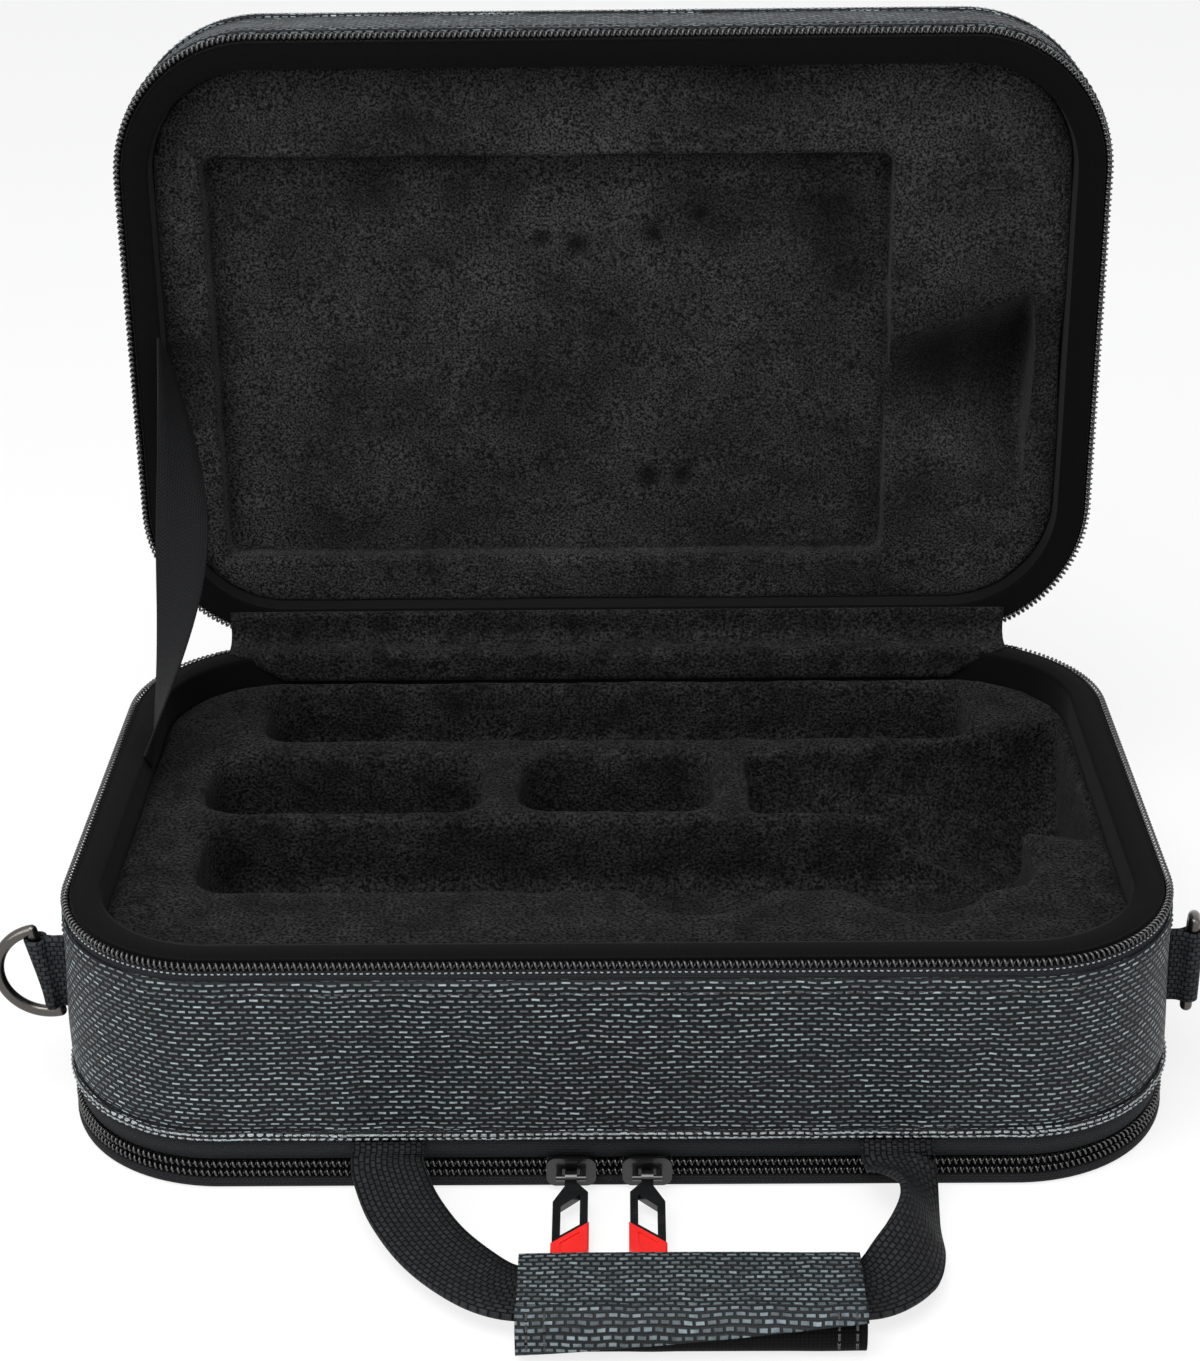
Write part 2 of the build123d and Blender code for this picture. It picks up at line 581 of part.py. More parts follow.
def slider_front():
    """Outer plate with the arched bail that carries the pull."""
    face = BAIL_REACH
    shape = slider_plate(SLIDER_HALF_H, face + SLIDER_PLATE_T)
    shape += Rot(0, 90, 0) * Cylinder(BAIL_R, BAIL_SPAN)
    for end in (-1, 1):
        post = Pos(end * (BAIL_SPAN / 2 - BAIL_R), face / 2, 0)
        shape += post * Rot(90, 0, 0) * Cylinder(BAIL_R, face)
    return shape


def pocket_slider(facing):
    """Whole slider: plates each side of the chain, joined by the bridge that parts the coils."""
    mid = bail_to_chain()
    back_y = mid + POCKET_COIL_R + SLIDER_COIL_GAP + SLIDER_PLATE_T
    shape = slider_front() + slider_plate(SLIDER_BACK_HALF_H, back_y)
    reach = 2 * (POCKET_COIL_R + SLIDER_COIL_GAP) + 0.4
    bridge = Pos(facing * (SLIDER_L / 2 - BRIDGE_L / 2 - 1), mid, 0)
    return shape + bridge * Box(BRIDGE_L, reach, BRIDGE_T)


def slant(x):
    """Distance from the eye of the slanting line between metal and cap, at a place across the pull."""
    return -TIP_MIDDLE + TIP_SLANT * x / PULL_W


def below_slant(grow, top=0.0):
    """The six-sided pull's far part, from its slanting line down, moved out by grow."""
    half, end = PULL_W / 2 + grow, -PULL_L - grow
    return make_face(Polyline((-half, slant(-half) - top), (half, slant(half) - top), (half, end + 7),
                              (0.5, end), (-2.6, end), (-half, end + 4), close=True))


def pull_body():
    """Enamelled pull with its eye round the bail, a window, and a tongue that the cap holds."""
    half, neck = PULL_W / 2, EYE_L / 2
    outline = Polyline((-neck, 0), (-neck, -2 - PULL_SHOULDER / 2), (-half, -6 - PULL_SHOULDER),
                       (-half, slant(-half)), (half, slant(half)), (half, -7), (neck, -3), (neck, 0), close=True)
    body = extrude(make_face(outline), amount=PULL_T / 2, both=True)
    clear = half - PULL_LIMB
    window = Polyline((-clear, -8 - PULL_SHOULDER), (clear, -8), (clear, slant(clear) + 1),
                      (-clear, slant(-clear) + 1), close=True)
    body -= extrude(make_face(window), amount=PULL_T, both=True)
    body += extrude(below_slant(-TONGUE_INSET), amount=TONGUE_T / 2, both=True)
    body += Rot(0, 90, 0) * Cylinder(BAIL_R + EYE_GAP + EYE_WALL, EYE_L)
    return body - Rot(0, 90, 0) * Cylinder(BAIL_R + EYE_GAP, EYE_L + 2)


def pull_tip():
    """Red rubber cap moulded over the pull's far end, with a sunk panel on both faces."""
    cap = extrude(below_slant(TIP_WALL), amount=TIP_T / 2, both=True)
    cap = chamfer(cap.edges().filter_by(lambda e: abs(e.center().Z) > TIP_T / 2 - 0.01), 0.5)
    panel = below_slant(-PULL_LIMB, top=PULL_LIMB)
    for face in (-1, 1):
        cap -= Pos(0, 0, face * TIP_T / 2) * extrude(panel, amount=TIP_PANEL_DEPTH, both=True)
    return cap - pull_body()


def pull_slope():
    """Angle at which the pull of the pocket zipper lies from its bail down to the floor."""
    drop = POCKET_CHAIN_Z - TIP_T / 2 - 0.3
    return degrees(atan(drop / PULL_L))


def pocket_slider_place(x):
    chain_y = -half_size(POCKET_COIL_INSET - FOOT_GROW)[1]
    return Pos(x, chain_y - bail_to_chain(), POCKET_CHAIN_Z)


def main_slider_place(side):
    """Frame on the back corner, where the main zipper's chain ends."""
    hx, hy, r = half_size(0)
    cx, cy = hx - r, hy - r
    angle = acos((HINGE_HALF - cx) / r)
    out = r + 2 * RUNNING_GAP + SLIDER_PLATE_T + BAIL_REACH
    x, y = side * (cx + out * cos(angle)), cy + out * sin(angle)
    return Pos(x, y, CLOSING_Z - MAIN_SLIDER_DEPTH) * Rot(0, 0, 180 - side * (90 - degrees(angle)))


def write(name, shape):
    shape.label = name
    export_step(shape, f"parts/{name}.step")


def main():
    os.makedirs("parts", exist_ok=True)
    # base
    write("pocket_panel", pocket_panel())
    write("pocket_hem", pocket_hem())
    write("pocket_coil_lower", pocket_coil(-1))
    write("pocket_coil_upper", pocket_coil(1))
    write("pocket_tape", pocket_tape_upper())
    write("base_shell", base_shell())
    write("base_cover", base_cover())
    write("base_hem", base_hem())
    write("base_rim_band", knit_band(INSERT_TOP_DEPTH + 8))
    write("base_zipper_tape", zipper_tape())
    write("base_zipper_coil", main_coil())
    for name, shape in zip(("insert_front", "insert_middle", "insert_back"), insert_blocks()):
        write(name, shape)
    write("handle_anchor_left", handle_anchor(LEFT_ANCHOR_X))
    write("handle_anchor_right", handle_anchor(RIGHT_ANCHOR_X))
    write("hinge_flap", hinge_flap())
    write("hinge_spine", hinge_spine())
    write("stay_ribbon", stay_ribbon())
    # lid
    write("lid_shell", to_lid(foam_shell(LID_SHELL_DEPTH, LID_FLOOR_DEPTH)))
    write("lid_cover", to_lid(lid_cover()))
    write("lid_hem", to_lid(lid_hem()))
    write("lid_rim_band", to_lid(knit_band(LINER_DEPTH + 8)))
    write("lid_zipper_tape", to_lid(zipper_tape()))
    write("lid_zipper_coil", to_lid(main_coil()))
    write("lid_liner", to_lid(lid_liner()))
    # handle
    write("handle_strap", handle_strap())
    write("grip_core", grip_core())
    write("grip_wrap", grip_wrap())
    write("grip_flap", grip_flap())
    # hardware in pairs
    hang = Rot(90, 0, 0)
    lie = Rot(pull_slope(), 0, 0)
    for side, word in ((-1, "left"), (1, "right")):
        write(f"ring_{word}", ring(side))
        write(f"ring_tab_{word}", ring_tab(side))
        body, tip = pull_body(), pull_tip()
        if side > 0:
            body, tip = mirror(body, about=Plane.YZ), mirror(tip, about=Plane.YZ)
        place = pocket_slider_place(POCKET_SLIDER_X[0 if side < 0 else 1])
        write(f"pocket_slider_{word}", place * pocket_slider(-side))
        write(f"pocket_pull_{word}", place * lie * body)
        write(f"pocket_pull_tip_{word}", place * lie * tip)
        place = main_slider_place(side)
        write(f"main_slider_{word}", place * slider_front())
        write(f"main_pull_{word}", place * hang * body)
        write(f"main_pull_tip_{word}", place * hang * tip)


main()
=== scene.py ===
"""Looks of a soft zip-up clarinet case that stands open and empty on a white table.

Lengths inside the sections are millimetres in the case's frame, and turn to metres where a mesh is made.
"""
from math import acos, cos, pi, radians, sin

import bmesh
import bpy
import numpy as np
from mathutils import Matrix, Vector, noise


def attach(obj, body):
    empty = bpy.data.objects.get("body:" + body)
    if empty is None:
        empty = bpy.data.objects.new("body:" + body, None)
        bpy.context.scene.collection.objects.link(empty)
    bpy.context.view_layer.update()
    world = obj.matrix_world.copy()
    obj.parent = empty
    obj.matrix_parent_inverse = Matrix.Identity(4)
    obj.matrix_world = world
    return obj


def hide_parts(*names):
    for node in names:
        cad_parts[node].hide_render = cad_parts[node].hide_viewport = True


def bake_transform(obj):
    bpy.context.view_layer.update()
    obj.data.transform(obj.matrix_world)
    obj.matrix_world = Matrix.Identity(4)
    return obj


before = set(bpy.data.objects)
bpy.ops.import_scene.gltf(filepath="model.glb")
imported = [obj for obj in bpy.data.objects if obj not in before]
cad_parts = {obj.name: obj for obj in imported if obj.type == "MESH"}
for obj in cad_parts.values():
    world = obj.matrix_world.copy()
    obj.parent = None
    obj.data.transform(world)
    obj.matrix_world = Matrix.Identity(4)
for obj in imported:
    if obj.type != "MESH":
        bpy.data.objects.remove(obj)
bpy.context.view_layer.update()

MM = 0.001
scene = bpy.context.scene


# ---- Camera and studio
# The photographer stood in front, a little above the lid's middle, with a long lens. The picture is
# lit by large soft boxes from above, and the case stands on a table that shows as plain white.

EYE = Vector((4.81, -748.06, 485.53)) * MM
YAW, PITCH, ROLL = radians(-0.74), radians(26.26), radians(-0.73)
LENS, SENSOR = 68.39, 36.0

ahead = Vector((sin(YAW) * cos(PITCH), cos(YAW) * cos(PITCH), -sin(PITCH)))
level = ahead.cross(Vector((0, 0, 1))).normalized()
upright = level.cross(ahead)
side = level * cos(ROLL) + upright * sin(ROLL)
top = upright * cos(ROLL) - level * sin(ROLL)

camera = bpy.data.objects.new("camera", bpy.data.cameras.new("camera"))
camera.data.lens, camera.data.sensor_width = LENS, SENSOR
camera.matrix_world = Matrix.Translation(EYE) @ Matrix((side, top, -ahead)).transposed().to_4x4()
scene.collection.objects.link(camera)
scene.camera = camera
scene.view_settings.view_transform = "Standard"


def add(tree, kind, inputs=None, **settings):
    """Add a node, or take one that is there. inputs gives each socket a value, or a socket to link from."""
    node = tree.nodes.new(kind) if isinstance(kind, str) else kind
    for name, value in settings.items():
        setattr(node, name, value)
    for socket, value in (inputs or {}).items():
        if isinstance(value, bpy.types.NodeSocket):
            tree.links.new(value, node.inputs[socket])
        else:
            node.inputs[socket].default_value = value
    return node


def colour(code):
    """sRGB hex code to the linear colour that a shader takes."""
    parts = [int(code[i:i + 2], 16) / 255 for i in (1, 3, 5)]
    return (*[c / 12.92 if c <= 0.04045 else ((c + 0.055) / 1.055) ** 2.4 for c in parts], 1.0)


def seen_rays(tree):
    """1 for what the camera, a reflection or glass sees directly, 0 for what only lights the object."""
    path = add(tree, "ShaderNodeLightPath")
    direct = add(tree, "ShaderNodeMath", {0: path.outputs["Is Camera Ray"], 1: path.outputs["Is Glossy Ray"]},
                 operation="MAXIMUM")
    return add(tree, "ShaderNodeMath", {0: direct.outputs[0], 1: path.outputs["Is Transmission Ray"]},
               operation="MAXIMUM").outputs[0]


world = bpy.data.worlds.new("studio")
scene.world = world
world.use_nodes = True
tree = world.node_tree
tree.nodes.clear()
fill = add(tree, "ShaderNodeBackground", {"Color": colour("#f4f6fa"), "Strength": 0.55})
white = add(tree, "ShaderNodeBackground", {"Color": (1, 1, 1, 1), "Strength": 1.0})
both = add(tree, "ShaderNodeMixShader", {0: seen_rays(tree), 1: fill.outputs[0], 2: white.outputs[0]})
add(tree, "ShaderNodeOutputWorld", {"Surface": both.outputs[0]})


def soft_box(name, place, aim, width, height, watts):
    light = bpy.data.lights.new(name, "AREA")
    light.shape, light.size, light.size_y, light.energy = "RECTANGLE", width, height, watts
    lamp = bpy.data.objects.new(name, light)
    lamp.location = place
    lamp.rotation_mode = "QUATERNION"
    lamp.rotation_quaternion = (Vector(aim) - Vector(place)).to_track_quat("-Z", "Y")
    scene.collection.objects.link(lamp)


soft_box("overhead", (-0.25, -0.45, 1.25), (0, 0.02, 0.08), 1.1, 0.8, 15.0)
soft_box("front_left", (-1.05, -0.95, 0.75), (0, 0, 0.08), 0.7, 0.9, 8.0)
soft_box("front_right", (1.0, -0.85, 0.60), (0, 0, 0.08), 0.6, 0.8, 3.0)

FLOOR_REACH = 6.0
PLAIN_WHITE = 0.78  # share of plain white in what the camera sees of the table
table = bpy.data.materials.new("white painted table")
table.use_nodes = True
tree = table.node_tree
tree.nodes.clear()
paint = add(tree, "ShaderNodeBsdfDiffuse", {"Color": colour("#f7f7f5")})
glow = add(tree, "ShaderNodeEmission", {"Color": (1, 1, 1, 1), "Strength": 1.0})
path = add(tree, "ShaderNodeLightPath")
# the camera sees the paint, with the case's faint shadow on it, through a layer of plain white
share = add(tree, "ShaderNodeMath", {0: seen_rays(tree), 1: PLAIN_WHITE}, operation="MULTIPLY")
both = add(tree, "ShaderNodeMixShader", {0: share.outputs[0], 1: paint.outputs[0], 2: glow.outputs[0]})
add(tree, "ShaderNodeOutputMaterial", {"Surface": both.outputs[0]})
floor_mesh = bpy.data.meshes.new("floor")
floor_mesh.from_pydata([(x * FLOOR_REACH, y * FLOOR_REACH, 0) for x, y in ((-1, -1), (1, -1), (1, 1), (-1, 1))],
                       [], [(0, 1, 2, 3)])
floor_mesh.materials.append(table)
floor = bpy.data.objects.new("floor", floor_mesh)
scene.collection.objects.link(floor)


# ---- Nylon of the base's wall
# One strip of ballistic nylon, a coarse basket weave of dark yarns with a painted highlight on each crest,
# sewn round the front, the ends and the back. It is laid over the foam with slack, so it bulges and waves a little.

HALF_LENGTH, HALF_WIDTH, CORNER_R = 171.0, 110.0, 50.0
CLOSING_Z, OPEN_ANGLE = 79.0, radians(92.7)
WALL_TOP, WALL_FOOT = 6.2, 58.0  # depth below the closing plane
WALL_LEAN = 1.4
FOOT_CREASE = 0.9  # the wall dips in where it meets its folded hem
NYLON_T = 1.2
CORE_X, CORE_Y = HALF_LENGTH - CORNER_R, HALF_WIDTH - CORNER_R
ARC = pi / 2 * CORNER_R
LEGS = np.cumsum([0, CORE_X, ARC, 2 * CORE_Y, ARC, 2 * CORE_X, ARC, 2 * CORE_Y, ARC, CORE_X])
ROUND = LEGS[-1]


def around(s):
    """Core point and outward direction at distances s round the outline, from the middle of the back."""
    s = np.asarray(s, float)
    xs = np.interp(s, LEGS, [0, -CORE_X, -CORE_X, -CORE_X, -CORE_X, CORE_X, CORE_X, CORE_X, CORE_X, 0])
    ys = np.interp(s, LEGS, np.array([1, 1, 1, -1, -1, -1, -1, 1, 1, 1]) * CORE_Y)
    turn = np.interp(s, LEGS, np.array([1, 1, 2, 2, 3, 3, 4, 4, 5, 5]) * pi / 2)
    return np.stack([xs, ys], -1), np.stack([np.cos(turn), np.sin(turn)], -1)


def on_wall(s, out, depth, lid=False):
    """Points at distances s round the half, out from its outline and at a depth from the closing plane."""
    core, away = around(s)
    flat = core + away * (CORNER_R + np.asarray(out, float))[..., None]
    depth = np.broadcast_to(np.asarray(depth, float), flat.shape[:-1])
    points = np.concatenate([flat, (CLOSING_Z - depth)[..., None]], -1)
    return open_lid(points) if lid else points


def open_lid(points):
    """Mirror points of the closed base through the closing plane, and turn them open with the lid."""
    up, depth = HALF_WIDTH - points[..., 1], CLOSING_Z - points[..., 2]
    y = HALF_WIDTH - up * cos(OPEN_ANGLE) + depth * sin(OPEN_ANGLE)
    z = CLOSING_Z + up * sin(OPEN_ANGLE) + depth * cos(OPEN_ANGLE)
    return np.stack([points[..., 0], y, z], -1)


def grid_faces(rows, columns, start=0, close=False):
    """Quads of a grid of points, row by row. A closed grid joins its last column to its first."""
    r, c = np.meshgrid(np.arange(rows - 1), np.arange(columns if close else columns - 1), indexing="ij")
    n = (c + 1) % columns
    quads = np.stack([r * columns + c, r * columns + n, (r + 1) * columns + n, (r + 1) * columns + c], -1)
    return quads.reshape(-1, 4) + start


def both_sides(rows, columns):
    """Quads of two layers of a grid, one turned over, joined all round their edge."""
    n = rows * columns
    edge = [i * columns for i in range(rows)] + [(rows - 1) * columns + k for k in range(1, columns)]
    edge += [i * columns + columns - 1 for i in range(rows - 2, -1, -1)] + [k for k in range(columns - 2, 0, -1)]
    rim = [(a, b, b + n, a + n) for a, b in zip(edge, edge[1:] + edge[:1])]
    return np.concatenate([grid_faces(rows, columns), grid_faces(rows, columns, n)[:, ::-1], rim])


def piece(name, points, faces, material, uv=None):
    """A smooth mesh from points in millimetres. uv is also in millimetres, so a weave keeps its scale."""
    points, faces = np.asarray(points, float).reshape(-1, 3) * MM, np.asarray(faces)
    mesh = bpy.data.meshes.new(name)
    mesh.from_pydata(points.tolist(), [], faces.tolist())
    if uv is not None:
        layer = mesh.uv_layers.new(name="weave")
        corners = np.zeros(len(mesh.loops), int)
        mesh.loops.foreach_get("vertex_index", corners)
        layer.data.foreach_set("uv", np.asarray(uv, float).reshape(-1, 2)[corners].ravel())
    mesh.materials.append(material)
    mesh.polygons.foreach_set("use_smooth", [True] * len(mesh.polygons))
    made = bpy.data.objects.new(name, mesh)
    scene.collection.objects.link(made)
    return made


def weld(made, distance=0.0005):
    """Join the points that meet where a surface closes on itself."""
    shape = bmesh.new()
    shape.from_mesh(made.data)
    bmesh.ops.remove_doubles(shape, verts=shape.verts, dist=distance * MM)
    bmesh.ops.recalc_face_normals(shape, faces=shape.faces)
    shape.to_mesh(made.data)
    shape.free()
    return made


def swept(name, profile, material, lid=False, s=None, sway=None, step=3.0):
    """A closed profile of (out, depth) carried round the outline. sway moves it out, as slack cloth does."""
    s = np.arange(0, ROUND + step, step).clip(0, ROUND) if s is None else s
    profile = np.asarray(profile + profile[:1], float)
    along = np.concatenate([[0], np.cumsum(np.hypot(*np.diff(profile, axis=0).T))])
    grid_s, grid_out = np.meshgrid(s, profile[:, 0], indexing="ij")
    grid_depth = np.broadcast_to(profile[:, 1], grid_s.shape)
    if sway is not None:
        grid_out = grid_out + sway(grid_s, grid_depth)
    points = on_wall(grid_s, grid_out, grid_depth, lid)
    uv = np.stack([grid_s, np.broadcast_to(along, grid_s.shape)], -1)
    made = piece(name, points, grid_faces(*grid_s.shape), material, uv)
    if s[0] > 0:
        cap_ends(made, len(s), len(profile) - 1, len(profile))
    return weld(made)


def cap_ends(made, rows, around_count, columns):
    """Close both ends of an open strip."""
    shape = bmesh.new()
    shape.from_mesh(made.data)
    shape.verts.ensure_lookup_table()
    for row in (0, rows - 1):
        shape.faces.new([shape.verts[row * columns + k] for k in range(around_count)])
    shape.to_mesh(made.data)
    shape.free()


def slack(amount, length, seed, low=WALL_TOP, high=WALL_FOOT):
    """Waves of slack cloth, none along the two sewn edges."""
    def sway(s, depth):
        held = np.sin(np.clip((depth - low) / (high - low), 0, 1) * pi) ** 0.6
        field = [noise.noise((a / length, b / (0.6 * length), seed)) for a, b in zip(s.ravel(), depth.ravel())]
        return amount * held * np.array(field).reshape(s.shape)
    return sway


def surface(name):
    """A new material, with its node tree and its shader."""
    material = bpy.data.materials.new(name)
    material.use_nodes = True
    return material, material.node_tree, material.node_tree.nodes["Principled BSDF"]


def ballistic_nylon(name, dash, ground, pick=3.6, row=1.8, gap=0.76):
    """Ballistic nylon: a basket weave of dark warp, with a painted highlight in the colour on each raised pick's
    crest.
    """
    material, tree, shader = surface(name)
    uv = add(tree, "ShaderNodeUVMap", uv_map="weave").outputs[0]
    wobble = add(tree, "ShaderNodeTexNoise", {"Vector": uv, "Scale": 0.08, "Detail": 2.0}).outputs["Color"]
    pull = add(tree, "ShaderNodeVectorMath", {0: wobble, "Scale": 2.4}, operation="SCALE").outputs[0]
    place = add(tree, "ShaderNodeVectorMath", {0: uv, 1: pull}, operation="ADD").outputs[0]
    weave = add(tree, "ShaderNodeTexBrick", {
        "Vector": place, "Color1": (0.86, 0.86, 0.86, 1), "Color2": (1, 1, 1, 1), "Mortar": (0, 0, 0, 1),
        "Scale": 0.1, "Mortar Size": gap * 0.1, "Mortar Smooth": 1.0, "Bias": 0.0,
        "Brick Width": pick * 0.1, "Row Height": row * 0.1})
    patchy = add(tree, "ShaderNodeTexNoise", {"Vector": uv, "Scale": 0.35, "Detail": 3.0}).outputs["Fac"]
    highlight_patches = add(tree, "ShaderNodeMapRange", {"Value": patchy, "From Min": 0.3, "From Max": 0.7, "To Min": 0.45,
                                           "To Max": 1.0}).outputs[0]
    # painted highlight: each pick's crest is painted light, stronger and weaker in random patches
    crest = add(tree, "ShaderNodeMath", {0: weave.outputs["Color"], 1: 9.0}, operation="POWER").outputs[0]
    light = add(tree, "ShaderNodeMath", {0: crest, 1: highlight_patches}, operation="MULTIPLY").outputs[0]
    yarn = add(tree, "ShaderNodeMix", {0: light, 6: colour(ground), 7: colour(dash)}, data_type="RGBA")
    raised = add(tree, "ShaderNodeBump", {"Height": weave.outputs["Color"], "Distance": 0.25 * MM,
                                          "Strength": 0.8})
    add(tree, shader, {"Base Color": yarn.outputs[2], "Normal": raised.outputs[0], "Roughness": 0.55,
                       "IOR": 1.53, "Specular IOR Level": 0.14})
    return material


nylon = ballistic_nylon("ballistic nylon, charcoal", "#a8b7bb", "#0e0f11")


def wall_profile(lean, low, high, thick, count=18):
    """Thin wall with folded edges, from its top to its foot, leaning out."""
    outer = [(lean * t - (FOOT_CREASE if t == 1 else 0), low + (high - low) * t) for t in np.linspace(0, 1, count)]
    fold_low, fold_high = (-thick * 0.5, low - thick * 0.15), (lean - thick * 0.5, high + thick * 0.1)
    inner = [(out - thick, depth) for out, depth in outer[::-1]]
    return [fold_low] + outer + [fold_high] + inner


base_cover = swept("base_cover_nylon", wall_profile(WALL_LEAN, WALL_TOP, WALL_FOOT, NYLON_T), nylon,
                   sway=slack(1.5, 70, 3.1))
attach(base_cover, "base")
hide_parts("base_cover")


# ---- Folded hem of the wall
# The nylon's lower edge is turned up over itself and stitched down with two rows of thread, so it
# stands a little proud of the zipper tape below it.

HEM_LOW, HEM_HIGH = 58.1, 61.4
HEM_OUT = WALL_LEAN + 0.8


def bead(low, high, inner, outer, count=7):
    """Rounded band between two depths."""
    middle, half = (low + high) / 2, (high - low) / 2
    face = [(outer - 0.5 + 0.5 * cos(a), middle + half * sin(a)) for a in np.linspace(-pi / 2, pi / 2, count)]
    return face + [(inner, high), (inner, low)]


# the folded edge's copy paints its crest highlights brighter, on a finer weave
hem_nylon = ballistic_nylon("ballistic nylon, folded edge", "#c6d1d4", "#0c0d0e", pick=2.8, row=1.65, gap=0.6)
base_hem = swept("base_hem_fold", bead(HEM_LOW, HEM_HIGH, -NYLON_T, HEM_OUT), hem_nylon)
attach(base_hem, "base")
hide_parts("base_hem")


def thread_material(name, code):
    """Bonded polyester sewing thread: fine twisted strands with a dull shine."""
    material, tree, shader = surface(name)
    where = add(tree, "ShaderNodeTexCoord").outputs["Object"]
    twist = add(tree, "ShaderNodeTexWave", {"Vector": where, "Scale": 1300.0, "Distortion": 2.0},
                bands_direction="DIAGONAL")
    tone = add(tree, "ShaderNodeMix", {0: twist.outputs["Fac"], 6: colour("#060606"), 7: colour(code)},
               data_type="RGBA")
    add(tree, shader, {"Base Color": tone.outputs[2], "Roughness": 0.5, "Sheen Weight": 0.2})
    return material


def stitches(name, path, material, pitch=3.0, length=2.1, radius=0.28, lift=0.1):
    """Row of thread stitches along a path of points and outward directions, each sunk at both ends."""
    points, away = path
    gone = np.concatenate([[0], np.cumsum(np.linalg.norm(np.diff(points, axis=0), axis=1))])
    middles = np.arange(pitch, gone[-1] - pitch, pitch)
    share = np.linspace(-0.5, 0.5, 5)
    at = (middles[:, None] + share[None] * length).ravel()
    centre = np.stack([np.interp(at, gone, points[:, k]) for k in range(3)], -1)
    out = np.stack([np.interp(at, gone, away[:, k]) for k in range(3)], -1)
    ahead = np.stack([np.interp(at + 0.5, gone, points[:, k]) for k in range(3)], -1) - centre
    ahead /= np.maximum(np.linalg.norm(ahead, axis=1, keepdims=True), 1e-9)
    across = np.cross(out, ahead)
    arch = np.tile(lift - (2 * share) ** 2 * (radius + lift), len(middles))
    centre = centre + out * arch[:, None]
    turn = np.linspace(0, 2 * pi, 6, endpoint=False)
    ring = out[:, None] * np.cos(turn)[None, :, None] + across[:, None] * np.sin(turn)[None, :, None]
    verts = centre[:, None] + radius * ring
    faces = np.concatenate([grid_faces(5, 6, 30 * i, close=True) for i in range(len(middles))])
    return piece(name, verts, faces, material)


def wall_path(out, depth, lid=False, start=0.0, end=ROUND, step=1.5):
    """Path round the half for a row of stitches, with its outward direction."""
    s = np.arange(start, end, step)
    points = on_wall(s, np.full_like(s, out), depth, lid)
    further = on_wall(s, np.full_like(s, out + 1), depth, lid)
    return points, further - points


thread = thread_material("polyester thread, grey", "#c3cbcd")
dark_thread = thread_material("polyester thread, black", "#2a2a2b")
for number, depth in enumerate((HEM_LOW + 1.0, HEM_HIGH - 0.9)):
    row = stitches(f"base_hem_stitches_{number + 1}", wall_path(HEM_OUT, depth), thread, pitch=2.7, length=1.5)
    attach(row, "base")
row = stitches("base_cover_stitches", wall_path(0.14, WALL_TOP + 4.2), dark_thread)
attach(row, "base")


# ---- Zipper of the opening: tapes and two rows of coil
# A coil zipper sewn to both halves. Each row is one nylon wire wound in a flat helix, whose turns
# show as a line of bright beads. Black herringbone tape joins it to the nylon wall.

HINGE_HALF = 141.0
COIL_R, COIL_INSET, COIL_TOP = 1.4, 1.5, 0.15
COIL_WIRE_R, COIL_PITCH = 0.42, 1.9
TAPE_FACE, TAPE_T, TAPE_HEAD, TAPE_FOOT = -1.15, 0.8, 3.0, 10.0
hinge_turn = acos((HINGE_HALF - CORE_X) / CORNER_R)
ZIP_START = CORE_X + (pi / 2 - hinge_turn) * CORNER_R
ZIP_END = ROUND - ZIP_START


def moulded_nylon(name, code):
    """Monofilament nylon wire, extruded and heat-set: smooth, so each turn shows one sharp glint."""
    material, tree, shader = surface(name)
    where = add(tree, "ShaderNodeTexCoord").outputs["Object"]
    dust = add(tree, "ShaderNodeTexNoise", {"Vector": where, "Scale": 420.0, "Detail": 2.0}).outputs["Fac"]
    dull = add(tree, "ShaderNodeMapRange", {"Value": dust, "To Min": 0.12, "To Max": 0.3}).outputs[0]
    add(tree, shader, {"Roughness": dull, "Base Color": colour(code), "Specular IOR Level": 0.9, "IOR": 1.53})
    return material


def woven_tape(name, light, dark, rib=0.9, rows=0.6):
    """Polyester tape woven in fine herringbone: dull, with slanting ribs that change side in columns."""
    material, tree, shader = surface(name)
    uv = add(tree, "ShaderNodeUVMap", uv_map="weave").outputs[0]
    parts = add(tree, "ShaderNodeSeparateXYZ", {0: uv})
    fold = add(tree, "ShaderNodeMath", {0: parts.outputs[1], 1: 1.6}, operation="PINGPONG").outputs[0]
    slant = add(tree, "ShaderNodeMath", {0: fold, 1: parts.outputs[0]}, operation="ADD").outputs[0]
    wave = add(tree, "ShaderNodeMath", {0: slant, 1: 2 * pi / rib}, operation="MULTIPLY").outputs[0]
    ribs = add(tree, "ShaderNodeMath", {0: wave}, operation="SINE").outputs[0]
    picks = add(tree, "ShaderNodeMath", {0: parts.outputs[1], 1: 2 * pi / rows}, operation="MULTIPLY").outputs[0]
    picks = add(tree, "ShaderNodeMath", {0: picks}, operation="SINE").outputs[0]
    both = add(tree, "ShaderNodeMath", {0: ribs, 1: picks}, operation="ADD").outputs[0]
    share = add(tree, "ShaderNodeMapRange", {"Value": both, "From Min": -2.0, "From Max": 2.0}).outputs[0]
    fibre = add(tree, "ShaderNodeTexNoise", {"Vector": uv, "Scale": 1.6, "Detail": 3.0}).outputs["Fac"]
    share = add(tree, "ShaderNodeMath", {0: share, 1: fibre}, operation="MULTIPLY").outputs[0]
    tone = add(tree, "ShaderNodeMix", {0: share, 6: colour(dark), 7: colour(light)}, data_type="RGBA")
    raised = add(tree, "ShaderNodeBump", {"Height": both, "Distance": 0.12 * MM, "Strength": 0.7})
    add(tree, shader, {"Base Color": tone.outputs[2], "Normal": raised.outputs[0], "Roughness": 0.75,
                       "Specular IOR Level": 0.15})
    return material


